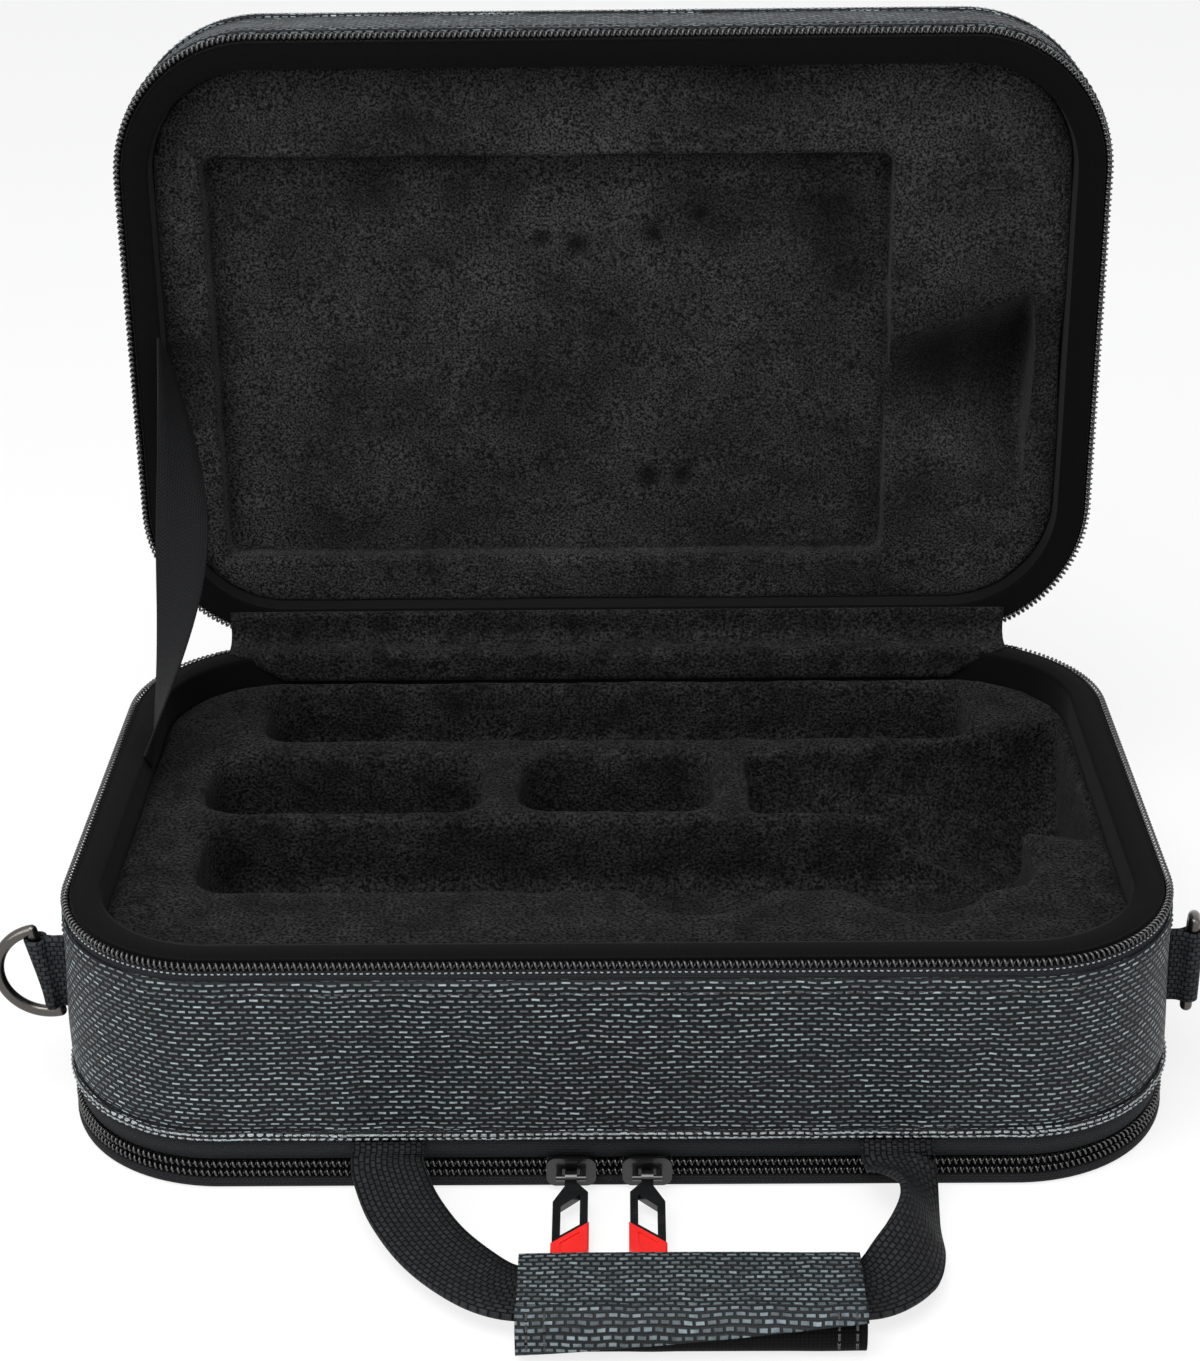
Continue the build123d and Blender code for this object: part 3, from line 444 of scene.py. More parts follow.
def coil(name, inset, depth, radius, material, lid=False):
    """One row of coil teeth: a wire wound along the outline."""
    per_turn = 9
    s = np.arange(ZIP_START, ZIP_END, COIL_PITCH / per_turn)
    angle = 2 * pi * s / COIL_PITCH
    out = -inset + (radius - COIL_WIRE_R) * np.cos(angle)
    deep = depth + (radius - COIL_WIRE_R) * np.sin(angle)
    line = on_wall(s, out, deep, lid)
    ahead = np.gradient(line, axis=0)
    ahead /= np.linalg.norm(ahead, axis=1, keepdims=True)
    middle = on_wall(s, np.full_like(s, -inset), depth, lid)
    outward = line - middle
    outward -= ahead * (outward * ahead).sum(1, keepdims=True)
    outward /= np.linalg.norm(outward, axis=1, keepdims=True)
    across = np.cross(ahead, outward)
    turn = np.linspace(0, 2 * pi, 5, endpoint=False)
    ring = outward[:, None] * np.cos(turn)[None, :, None] + across[:, None] * np.sin(turn)[None, :, None]
    return piece(name, line[:, None] + COIL_WIRE_R * ring, grid_faces(len(s), 5, close=True), material)


tooth_nylon = moulded_nylon("monofilament nylon, black", "#141414")
tape_weave = woven_tape("herringbone polyester tape, black", "#3f4246", "#040405")
for half, lid in (("base", False), ("lid", True)):
    s = np.arange(ZIP_START, ZIP_END, 3.0)
    profile = [(TAPE_FACE, TAPE_HEAD), (TAPE_FACE, TAPE_FOOT), (TAPE_FACE - TAPE_T, TAPE_FOOT),
               (TAPE_FACE - TAPE_T, TAPE_HEAD)]
    tape = swept(f"{half}_zipper_tape_weave", profile, tape_weave, lid, s)
    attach(tape, half)
    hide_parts(f"{half}_zipper_tape")
    teeth = coil(f"{half}_zipper_coil_teeth", COIL_INSET, COIL_TOP + COIL_R, COIL_R, tooth_nylon, lid)
    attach(teeth, half)
    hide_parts(f"{half}_zipper_coil")
    sewn = wall_path(TAPE_FACE + 0.05, COIL_TOP + 2 * COIL_R + 0.9, lid, ZIP_START, ZIP_END)
    row = stitches(f"{half}_zipper_stitches", sewn, thread, pitch=COIL_PITCH, length=1.0, radius=0.24)
    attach(row, half)


# ---- Knit binding of the rims
# A band of black warp knit, padded by the foam's edge, runs over both rims and down inside. A thin
# cord is caught along its outer edge, next to the coil.

BAND_OUTER, BAND_INNER, BAND_TOP, BAND_T = -3.1, -12.2, 0.5, 0.8
BASE_SKIRT, LID_SKIRT = 18.0, 17.0


def warp_knit(name, light, dark, wale=0.9, course=0.75):
    """Warp-knit polyester: rows of small loops, soft and almost without shine."""
    material, tree, shader = surface(name)
    uv = add(tree, "ShaderNodeUVMap", uv_map="weave").outputs[0]
    parts = add(tree, "ShaderNodeSeparateXYZ", {0: uv})
    waves = []
    for k, size in ((0, wale), (1, course)):
        turn = add(tree, "ShaderNodeMath", {0: parts.outputs[k], 1: pi / size}, operation="MULTIPLY").outputs[0]
        wave = add(tree, "ShaderNodeMath", {0: turn}, operation="SINE").outputs[0]
        waves.append(add(tree, "ShaderNodeMath", {0: wave}, operation="ABSOLUTE").outputs[0])
    loops = add(tree, "ShaderNodeMath", {0: waves[0], 1: waves[1]}, operation="MULTIPLY").outputs[0]
    fuzz = add(tree, "ShaderNodeTexNoise", {"Vector": uv, "Scale": 1.1, "Detail": 4.0}).outputs["Fac"]
    share = add(tree, "ShaderNodeMath", {0: loops, 1: fuzz}, operation="MULTIPLY").outputs[0]
    tone = add(tree, "ShaderNodeMix", {0: share, 6: colour(dark), 7: colour(light)}, data_type="RGBA")
    raised = add(tree, "ShaderNodeBump", {"Height": share, "Distance": 0.15 * MM, "Strength": 0.5})
    add(tree, shader, {"Base Color": tone.outputs[2], "Normal": raised.outputs[0], "Roughness": 0.9,
                       "Sheen Weight": 0.03, "Sheen Roughness": 0.5, "Specular IOR Level": 0.05})
    return material


knit = warp_knit("warp-knit binding, black", "#101011", "#020202")


def band_profile(skirt):
    """Rounded over the rim, then straight down inside."""
    crown = [(BAND_OUTER - (BAND_OUTER - BAND_INNER) * t, BAND_TOP - 0.45 * sin(pi * t))
             for t in np.linspace(0, 1, 9)]
    lining = [(BAND_OUTER - (BAND_OUTER - BAND_INNER - BAND_T) * t, BAND_TOP + BAND_T) for t in (1, 0.5, 0)]
    inside = [(BAND_INNER, BAND_TOP + (skirt - BAND_TOP) * t) for t in np.linspace(0.08, 1, 6)]
    back = [(BAND_INNER + BAND_T, BAND_TOP + (skirt - BAND_TOP) * t) for t in np.linspace(1, 0.12, 6)]
    return crown + inside + back + lining[1:]


def tube(name, path, radius, material, sides=8):
    """Round cord along points."""
    ahead = np.gradient(path, axis=0)
    ahead /= np.linalg.norm(ahead, axis=1, keepdims=True)
    up = np.tile([0.0, 0.0, 1.0], (len(path), 1))
    across = np.cross(ahead, up)
    short = np.linalg.norm(across, axis=1) < 1e-3
    across[short] = (1, 0, 0)
    across /= np.linalg.norm(across, axis=1, keepdims=True)
    up = np.cross(across, ahead)
    turn = np.linspace(0, 2 * pi, sides, endpoint=False)
    ring = across[:, None] * np.cos(turn)[None, :, None] + up[:, None] * np.sin(turn)[None, :, None]
    uv = np.stack(np.meshgrid(np.arange(len(path)) * 2.0, turn * radius, indexing="ij"), -1)
    return piece(name, path[:, None] + radius * ring, grid_faces(len(path), sides, close=True), material, uv)


for half, lid, skirt in (("base", False, BASE_SKIRT), ("lid", True, LID_SKIRT)):
    band = swept(f"{half}_rim_knit", band_profile(skirt), knit, lid, step=2.0)
    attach(band, half)
    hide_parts(f"{half}_rim_band")
    s = np.arange(ZIP_START, ZIP_END, 2.0)
    cord_path = on_wall(s, np.full_like(s, BAND_OUTER - 0.45), BAND_TOP + 0.15, lid)
    piping = tube(f"{half}_rim_piping", cord_path, 0.5, knit)
    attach(piping, half)


# ---- Pocket under the base: tape, two rows of coil, folded binding, panel
# A flat pocket, closed by a second and finer zipper round the foot. Below its two rows of coil a
# folded black binding holds a board covered in nylon, on which the case stands.

POCKET_CHAIN, POCKET_GAP, POCKET_COIL_R, POCKET_INSET = 72.25, 0.6, 1.3, -0.5
POCKET_TAPE_OUT, POCKET_TAPE_T, POCKET_TAPE_FULL, POCKET_TAPE_FOOT = 0.1, 0.8, 65.0, 68.9
BINDING_TOP, BINDING_FOOT, BINDING_OUT, BINDING_T = 75.3, 78.4, 1.9, 2.7
UPPER_ROW = POCKET_CHAIN - POCKET_GAP / 2 - POCKET_COIL_R
LOWER_ROW = POCKET_CHAIN + POCKET_GAP / 2 + POCKET_COIL_R

profile = [(POCKET_TAPE_OUT, HEM_HIGH), (POCKET_TAPE_OUT + 0.5, POCKET_TAPE_FULL),
           (POCKET_TAPE_OUT + 0.1, POCKET_TAPE_FOOT), (POCKET_TAPE_OUT - POCKET_TAPE_T, POCKET_TAPE_FOOT),
           (POCKET_TAPE_OUT - POCKET_TAPE_T, HEM_HIGH)]
pocket_tape = swept("pocket_tape_weave", profile, tape_weave)
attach(pocket_tape, "base")
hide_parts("pocket_tape")
for word, depth in (("upper", UPPER_ROW), ("lower", LOWER_ROW)):
    teeth = coil(f"pocket_coil_{word}_teeth", POCKET_INSET, depth, POCKET_COIL_R, tooth_nylon)
    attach(teeth, "base")
    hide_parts(f"pocket_coil_{word}")
binding = swept("pocket_binding_fold", bead(BINDING_TOP, BINDING_FOOT, BINDING_OUT - BINDING_T, BINDING_OUT),
                woven_tape("grosgrain binding, black", "#2c2d30", "#060607", rib=1.3, rows=1.0))
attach(binding, "base")
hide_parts("pocket_hem")


# ---- Nylon of the lid
# The same nylon covers the lid's wall and its crown. The two meet in a folded, stitched seam round
# the crown, which is slightly domed by the foam board behind it.

LID_CROWN, LID_SEAM_LOW = 37.5, 34.1
LID_SEAM_OUT, CROWN_DOME = 0.8, 1.6


def crown_points(depth, dome, rings=16):
    """Closed rings from the outline in to the middle line of the crown, and their flat places."""
    s = np.arange(0, ROUND, 3.0)
    core, away = around(s)
    rows = []
    for t in np.linspace(0, 1, rings):
        rows.append(core + away * CORNER_R * (1 - t))
    for t in np.linspace(0.12, 1.0, rings):
        rows.append(core * (1 - t))
    flat = np.array(rows)
    reach = 1 - (np.abs(flat[..., 0]) / HALF_LENGTH) ** 2
    reach = reach * (1 - (np.abs(flat[..., 1]) / HALF_WIDTH) ** 2)
    height = depth + dome * np.clip(reach, 0, 1) ** 0.7
    return np.concatenate([flat, (CLOSING_Z - height)[..., None]], -1), flat


lid_wall = swept("lid_wall_nylon", wall_profile(0, WALL_TOP, LID_CROWN - 0.6, NYLON_T, 12), nylon, True,
                 sway=slack(1.0, 60, 8.4, WALL_TOP, LID_CROWN))
points, flat = crown_points(LID_CROWN - 0.1, CROWN_DOME)
inner_points = points + [0, 0, NYLON_T]
rows, columns = points.shape[:2]
faces = np.concatenate([grid_faces(rows, columns, 0, True), grid_faces(rows, columns, rows * columns, True)[:, ::-1]])
crown = weld(piece("lid_crown_nylon", open_lid(np.concatenate([points, inner_points])), faces, nylon,
                   np.concatenate([flat, flat])))
for made in (lid_wall, crown):
    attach(made, "lid")
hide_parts("lid_cover")
lid_seam = swept("lid_seam_fold", bead(LID_SEAM_LOW, LID_CROWN, -0.4, LID_SEAM_OUT), hem_nylon, True)
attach(lid_seam, "lid")
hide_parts("lid_hem")
row = stitches("lid_seam_stitches", wall_path(LID_SEAM_OUT, LID_SEAM_LOW + 1.0, True), thread, 2.7, 1.5)
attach(row, "lid")
row = stitches("lid_wall_stitches", wall_path(0.14, WALL_TOP + 4.2, True), dark_thread)
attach(row, "lid")


# ---- Plush insert of the base and plush liner of the lid
# Foam blocks covered in polyester plush. The pile lies in patches, so it reads as soft dark and
# lighter marks, and its edges are rounded by the pile. Both are swollen, smoothed copies of the foam.

PLUSH_VOXEL = 2.2
PANEL_LEFT, PANEL_RIGHT, PANEL_LOW, PANEL_HIGH, PANEL_DEPTH = -142.0, 97.0, 29.5, 176.0, 18.5
PANEL_EDGE_W, BELL_UP = 1.6, 102.0
BELL_DEPTH = 16.0
BELL_DENTS = ((118.0, 34.0), (136.0, 38.0))  # place along the case and radius of a dent, painted dark as shade
# places along the case, up the lid and radii of the small dents in the panel's pile, also painted dark as shade
PANEL_DENTS = ((-25.0, 145.0, 5.0), (-13.0, 143.0, 6.0), (14.7, 146.0, 6.0), (12.6, 56.0, 7.0), (24.3, 56.0, 6.0),
               (30.5, 153.0, 4.0))


def crushed_plush(name, deep, pale, mark=18.0, pile=0.9, sheen=0.12):
    """Polyester velvet plush: short pile that is near black from the front and greys at a glance."""
    material, tree, shader = surface(name)
    where = add(tree, "ShaderNodeTexCoord").outputs["Object"]
    patch = add(tree, "ShaderNodeTexNoise", {"Vector": where, "Scale": 1000 / mark, "Detail": 5.0,
                                             "Roughness": 0.7, "Distortion": 0.2}).outputs["Fac"]
    grain = add(tree, "ShaderNodeTexNoise", {"Vector": where, "Scale": 1000 / pile, "Detail": 3.0}).outputs["Fac"]
    patch = add(tree, "ShaderNodeMapRange", {"Value": patch, "From Min": 0.2, "From Max": 0.8}).outputs[0]
    grain = add(tree, "ShaderNodeMapRange", {"Value": grain, "From Min": 0.38, "From Max": 0.68,
                                            "To Min": 0.05, "To Max": 1.6}).outputs[0]
    share = add(tree, "ShaderNodeMath", {0: patch, 1: grain}, operation="MULTIPLY").outputs[0]
    # painted shade: the tone darkens where ruffle marked dents and grooves
    shade_share = add(tree, "ShaderNodeAttribute", attribute_name="painted_shade").outputs["Fac"]
    unshaded = add(tree, "ShaderNodeMath", {0: 1.0, 1: shade_share}, operation="SUBTRACT").outputs[0]
    share = add(tree, "ShaderNodeMath", {0: share, 1: unshaded}, operation="MULTIPLY").outputs[0]
    tone = add(tree, "ShaderNodeMix", {0: share, 6: colour(deep), 7: colour(pale)}, data_type="RGBA")
    nap = add(tree, "ShaderNodeBump", {"Height": grain, "Distance": 0.5 * MM, "Strength": 0.55})
    soft = add(tree, "ShaderNodeBump", {"Height": patch, "Distance": 0.8 * MM, "Strength": 0.35,
                                        "Normal": nap.outputs[0]})
    add(tree, shader, {"Base Color": tone.outputs[2], "Normal": soft.outputs[0], "Roughness": 0.95,
                       "Specular IOR Level": 0.06, "Sheen Weight": sheen, "Sheen Roughness": 0.35,
                       "Sheen Tint": colour("#d2d2d2")})
    return material


def plush_copy(name, nodes, material, voxel=PLUSH_VOXEL, smooth=6):
    """A soft copy of foam pieces: remeshed evenly as one, then smoothed, so that its edges turn round."""
    shape = bmesh.new()
    for node in nodes:
        shape.from_mesh(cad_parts[node].data)
    joined = bpy.data.meshes.new(name)
    shape.to_mesh(joined)
    shape.free()
    made = bpy.data.objects.new(name, joined)
    scene.collection.objects.link(made)
    remesh = made.modifiers.new("even", "REMESH")
    remesh.mode, remesh.voxel_size = "VOXEL", voxel * MM
    soften = made.modifiers.new("soft", "SMOOTH")
    soften.factor, soften.iterations = 0.5, smooth
    made.data = bpy.data.meshes.new_from_object(made.evaluated_get(bpy.context.evaluated_depsgraph_get()))
    made.modifiers.clear()
    made.data.materials.clear()
    made.data.materials.append(material)
    made.data.polygons.foreach_set("use_smooth", [True] * len(made.data.polygons))
    return made


def ruffle(made, strength, size, seed, dents=(), grooves=()):
    """Waves of soft noise, dents of (place, radius, depth) and grooves of (start, end, width, depth).

    Dents and grooves are also painted darker as shade, so the share of painted shade is kept on the mesh for the
    plush.
    """
    mesh = made.data
    places, normals = np.zeros(len(mesh.vertices) * 3), np.zeros(len(mesh.vertices) * 3)
    mesh.vertices.foreach_get("co", places)
    mesh.vertices.foreach_get("normal", normals)
    places, normals = places.reshape(-1, 3) / MM, normals.reshape(-1, 3)
    move = np.array([noise.noise((x / size + seed, y / size, z / size))
                     + 0.5 * noise.noise((x / (0.4 * size), y / (0.4 * size), z / (0.4 * size)))
                     for x, y, z in places]) * strength
    # painted shade: dents and grooves are marked, up to 0.9 and 1, to be painted darker by the plush
    painted_shade = np.zeros(len(places))
    for place, radius, depth in dents:
        near = np.clip(1 - (np.linalg.norm(places - np.array(place), axis=1) / radius) ** 2, 0, 1) ** 2
        move -= depth * near
        painted_shade = np.maximum(painted_shade, 0.9 * near)
    for start, end, width, depth in grooves:
        start, run = np.array(start), np.array(end) - np.array(start)
        along = np.clip((places - start) @ run / (run @ run), 0, 1)
        near = np.exp(-(np.linalg.norm(places - start - along[:, None] * run, axis=1) / width) ** 2)
        move -= depth * near
        painted_shade = np.maximum(painted_shade, near)
    mesh.attributes.new("painted_shade", "FLOAT", "POINT").data.foreach_set("value", painted_shade)
    mesh.vertices.foreach_set("co", ((places + normals * move[:, None]) * MM).ravel())
    mesh.update()


fleece = crushed_plush("polyester fleece plush, black", "#040404", "#303031", mark=11.0, pile=1.0, sheen=0.04)
velvet = crushed_plush("crushed polyester velvet, black", "#060606", "#3c3c3c", mark=40.0, pile=0.8, sheen=0.08)
BLOCKS = ("insert_front", "insert_middle", "insert_back")
insert = plush_copy("base_insert_plush", BLOCKS, fleece)
ruffle(insert, 0.55, 14.0, 2.0)
liner = plush_copy("lid_liner_plush", ("lid_liner",), velvet, 1.5, 3)


def on_liner(x, up, depth):
    """Point of the open lid at a height up from the hinge and a depth from its closing plane."""
    return open_lid(np.array([x, HALF_WIDTH - up, CLOSING_Z - depth]))


# the panel lies in a shallow recess, with a groove sunk all round its edge and painted dark as shade
corners = [on_liner(x, up, PANEL_DEPTH) for x, up in ((PANEL_LEFT, PANEL_LOW), (PANEL_RIGHT, PANEL_LOW),
                                                      (PANEL_RIGHT, PANEL_HIGH), (PANEL_LEFT, PANEL_HIGH))]
edges = [(corners[k], corners[(k + 1) % 4], PANEL_EDGE_W, 1.0) for k in range(4)]
marks = [(on_liner(x, up, PANEL_DEPTH), radius, 1.6) for x, up, radius in PANEL_DENTS]
bell_marks = [(on_liner(x, BELL_UP, BELL_DEPTH), radius, 2.5) for x, radius in BELL_DENTS]
ruffle(liner, 0.5, 30.0, 7.0, marks + bell_marks, edges)
for made, body, nodes in ((insert, "base", BLOCKS), (liner, "lid", ("lid_liner",))):
    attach(made, body)
    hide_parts(*nodes)


# ---- Cloth hinge: plush flap inside, nylon spine outside
# The lid hangs on cloth. Inside, a plush flap runs from the insert over both rims. Outside, a strip of
# the wall's nylon spans the gap and is sewn to both back walls.

FLAP_T, RUN_GAP = 1.5, 0.3
SPINE_HALF, SPINE_T, SPINE_LEG = 128.0, 1.2, 19.0
SEAM_INSET = 12.3  # from the outline to the inner face of the rims
FLAP_FOOT_Z, FLAP_HEAD, FLAP_BEND_R = 69.6, 12.2, 5.0
FLAP_FOOT_HALF, FLAP_WIDENS = 121.0, 20.0


def strip(name, line, width_at, thick, material, count=40, ruffles=0.0, seed=0.0):
    """Cloth that follows a line of (y, z) across the case's length, with a rounded edge at both ends."""
    line = np.asarray(line, float)
    gone = np.concatenate([[0], np.cumsum(np.hypot(*np.diff(line, axis=0).T))])
    ahead = np.gradient(line, axis=0)
    ahead /= np.linalg.norm(ahead, axis=1, keepdims=True)
    normal = np.stack([-ahead[:, 1], ahead[:, 0]], -1)
    share = np.linspace(-1, 1, count)
    layers, coords = [], []
    for face in (1, -1):
        for i, (y, z) in enumerate(line):
            half = width_at(i / (len(line) - 1))
            for t in share:
                x = half * t
                bulge = ruffles * noise.noise((x / 22, gone[i] / 9, seed)) if 0 < i < len(line) - 1 else 0.0
                off = face * thick / 2 * min(1.0, (1 - abs(t)) * 30 + 0.35) + bulge
                layers.append((x, y + normal[i, 0] * off, z + normal[i, 1] * off))
                coords.append((x, gone[i]))
    return weld(piece(name, layers, both_sides(len(line), count), material, coords))


insert_back = HALF_WIDTH - SEAM_INSET - FLAP_T / 2
rim_top = CLOSING_Z - BAND_TOP + RUN_GAP + FLAP_T / 2
lid_face = HALF_WIDTH - RUN_GAP - FLAP_T / 2
bend = [(lid_face - FLAP_BEND_R * (1 - sin(a)), rim_top + FLAP_BEND_R * (1 - cos(a)))
        for a in np.linspace(0, pi / 2, 7)]
line = [(insert_back, z) for z in np.linspace(FLAP_FOOT_Z, rim_top - 1.5, 6)] + [(insert_back + 0.5, rim_top)]
line += [(y, rim_top) for y in np.linspace(insert_back + 2, lid_face - FLAP_BEND_R - 0.5, 4)] + bend
line += [(lid_face, z) for z in np.linspace(rim_top + FLAP_BEND_R + 0.6, CLOSING_Z + FLAP_HEAD, 4)]
flap = strip("hinge_flap_plush", line, lambda t: FLAP_FOOT_HALF + FLAP_WIDENS * min(1, t * 3), FLAP_T,
             fleece, 90, 0.5, 4.0)
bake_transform(flap)
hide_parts("hinge_flap")

spine_out = HALF_WIDTH + 0.1 + SPINE_T / 2
base_leg = [(spine_out + WALL_LEAN * t / 60, CLOSING_Z - t) for t in np.linspace(SPINE_LEG, 2.0, 7)]
lid_leg = [tuple(open_lid(np.array([0.0, y, z]))[1:]) for y, z in base_leg[::-1]]
corner = [((base_leg[-1][0] + lid_leg[0][0]) / 2 - 0.3, (base_leg[-1][1] + lid_leg[0][1]) / 2 - 0.6)]
spine = strip("hinge_spine_nylon", base_leg + corner + lid_leg, lambda t: SPINE_HALF, SPINE_T, nylon, 60, 0.25, 9.0)
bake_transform(spine)
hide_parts("hinge_spine")


# ---- Stay ribbon
# A flat black ribbon at the left end, sewn inside both rims. It stops the lid when it stands open,
# and turns half over on its way down.

STAY_W, STAY_T = 18.0, 0.8


def ribbon(name, stations, width, thick, material, steps=12):
    """Flat woven strap through stations of (centre, direction of its width), smoothly joined."""
    knots = np.array([centre for centre, _ in stations], float)
    sides = np.array([across for _, across in stations], float)
    t = np.linspace(0, len(knots) - 1, (len(knots) - 1) * steps + 1)
    k = np.clip(t.astype(int), 0, len(knots) - 2)
    f = (t - k)[:, None]
    def smooth(values):
        a, b = values[np.maximum(k - 1, 0)], values[k]
        c, d = values[k + 1], values[np.minimum(k + 2, len(values) - 1)]
        return 0.5 * (2 * b + (c - a) * f + (2 * a - 5 * b + 4 * c - d) * f ** 2 + (3 * b - a - 3 * c + d) * f ** 3)
    centre, across = smooth(knots), smooth(sides)
    ahead = np.gradient(centre, axis=0)
    ahead /= np.linalg.norm(ahead, axis=1, keepdims=True)
    across -= ahead * (across * ahead).sum(1, keepdims=True)
    across /= np.linalg.norm(across, axis=1, keepdims=True)
    normal = np.cross(ahead, across)
    gone = np.concatenate([[0], np.cumsum(np.linalg.norm(np.diff(centre, axis=0), axis=1))])
    h, w = thick / 2, width / 2
    section = [(-w + 0.3, -h), (-w / 2, -h), (0, -h), (w / 2, -h), (w - 0.3, -h), (w, 0), (w - 0.3, h), (w / 2, h),
               (0, h), (-w / 2, h), (-w + 0.3, h), (-w, 0), (-w + 0.3, -h)]
    points, coords = [], []
    for i in range(len(centre)):
        for a, b in section:
            points.append(centre[i] + across[i] * a + normal[i] * b)
            coords.append((gone[i], a))
    made = piece(name, points, grid_faces(len(centre), len(section)), material, coords)
    cap_ends(made, len(centre), len(section) - 1, len(section))
    return weld(made)


def webbing(name, light, dark, bar=2.2, course=1.6):
    """Polypropylene or nylon webbing: heavy ribs along the strap crossed by rows of short bumps."""
    material, tree, shader = surface(name)
    uv = add(tree, "ShaderNodeUVMap", uv_map="weave").outputs[0]
    bumps = add(tree, "ShaderNodeTexBrick", {
        "Vector": uv, "Color1": (0.6, 0.6, 0.6, 1), "Color2": (1, 1, 1, 1), "Mortar": (0, 0, 0, 1), "Scale": 0.1,
        "Mortar Size": 0.035, "Mortar Smooth": 1.0, "Brick Width": bar * 0.1, "Row Height": course * 0.1})
    fibre = add(tree, "ShaderNodeTexNoise", {"Vector": uv, "Scale": 0.9, "Detail": 3.0}).outputs["Fac"]
    share = add(tree, "ShaderNodeMath", {0: bumps.outputs["Color"], 1: fibre}, operation="MULTIPLY").outputs[0]
    tone = add(tree, "ShaderNodeMix", {0: share, 6: colour(dark), 7: colour(light)}, data_type="RGBA")
    raised = add(tree, "ShaderNodeBump", {"Height": bumps.outputs["Color"], "Distance": 0.45 * MM, "Strength": 1.0})
    add(tree, shader, {"Base Color": tone.outputs[2], "Normal": raised.outputs[0], "Roughness": 0.65,
                       "Specular IOR Level": 0.1})
    return material


stay_x = -HALF_LENGTH + SEAM_INSET + STAY_T / 2 + 0.1
stay_top = open_lid(np.array([stay_x, HALF_WIDTH - 112.0, CLOSING_Z - 1.0]))
stay_foot = np.array([stay_x, 22.0, CLOSING_Z - 3.0])
stations = []
for i in range(13):
    t = i / 12
    twist = pi * t
    centre = stay_top + (stay_foot - stay_top) * t + [STAY_W / 2 * sin(twist), 0, 0]
    stations.append((centre, (sin(twist), cos(twist), -0.6 * cos(twist))))
satin = woven_tape("satin ribbon, black", "#1c1d20", "#050506", 1.4)
stay = ribbon("stay_ribbon_tape", stations, STAY_W, STAY_T, satin)
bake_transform(stay)
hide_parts("stay_ribbon")


# ---- Strap rings and their webbing tabs
# Bent wire rings with a dark nickel plate hang in loops of ribbed webbing, which are sewn into the
# seams at both ends of the base. A shoulder strap would clip on here.

RING_Y, RING_Z, RING_BAR_X, RING_WIRE_R = -59.0, 45.0, 179.8, 1.9
TAB_W, TAB_T, LEFT_LEAN = 25.0, 1.3, radians(12)


def plated_metal(name, code, rough):
    """Black nickel plate over bent steel wire: a dark mirror with faint scuffs."""
    material, tree, shader = surface(name)
    where = add(tree, "ShaderNodeTexCoord").outputs["Object"]
    scuff = add(tree, "ShaderNodeTexNoise", {"Vector": where, "Scale": 260.0, "Detail": 5.0}).outputs["Fac"]
    dull = add(tree, "ShaderNodeMapRange", {"Value": scuff, "From Min": 0.35, "From Max": 0.7, "To Min": rough,
                                           "To Max": rough + 0.2}).outputs[0]
    add(tree, shader, {"Roughness": dull, "Base Color": colour(code), "Metallic": 1.0})
    return material


gunmetal = plated_metal("black nickel plate", "#5a5754", 0.18)
tab_webbing = webbing("ribbed nylon webbing, black", "#44474b", "#070708")
for word, sign in (("left", -1), ("right", 1)):
    lean = LEFT_LEAN if sign < 0 else 0.0
    bar = np.array([0.0, -sin(lean) * sign, 0.0])
    loop_r = RING_WIRE_R + 0.1 + TAB_T / 2
    wall_x = HALF_LENGTH + WALL_LEAN + 0.2
    reach = RING_BAR_X - wall_x
    path = [(0.0, 0.8), (reach * 0.45, 0.9)]
    path += [(reach + loop_r * cos(a), loop_r * sin(a)) for a in np.linspace(2.35, -2.35, 17)]
    path += [(reach * 0.45, -0.9), (0.0, -0.8)]
    stations = []
    for x, y in path:
        slope = sin(lean) / cos(lean)
        stations.append(((sign * (wall_x + x), RING_Y + y, RING_Z), (sign * slope * min(1, x / reach), 0, 1)))
    tab = ribbon(f"ring_tab_{word}_webbing", stations, TAB_W, TAB_T, tab_webbing, 3)
    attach(tab, "base")
    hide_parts(f"ring_tab_{word}")
    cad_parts[f"ring_{word}"].data.materials.clear()
    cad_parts[f"ring_{word}"].data.materials.append(gunmetal)


# ---- Handle: webbing strap
# One length of ribbed webbing, sewn under the hem at two places. It falls forward to the table with
# soft twists and runs through the padded grip.

STRAP_T, STRAP_W, HANDLE_Z = 2.2, 22.0, 13.6
LEFT_X, RIGHT_X = -69.0, 84.3
GRIP_LEFT, GRIP_RIGHT, GRIP_Y, GRIP_W, GRIP_H = -28.0, 69.0, -173.5, 33.0, 14.5
PIVOT_Y = -114.7
STRAP_Y, STRAP_Z = GRIP_Y + 3.5, GRIP_H / 2

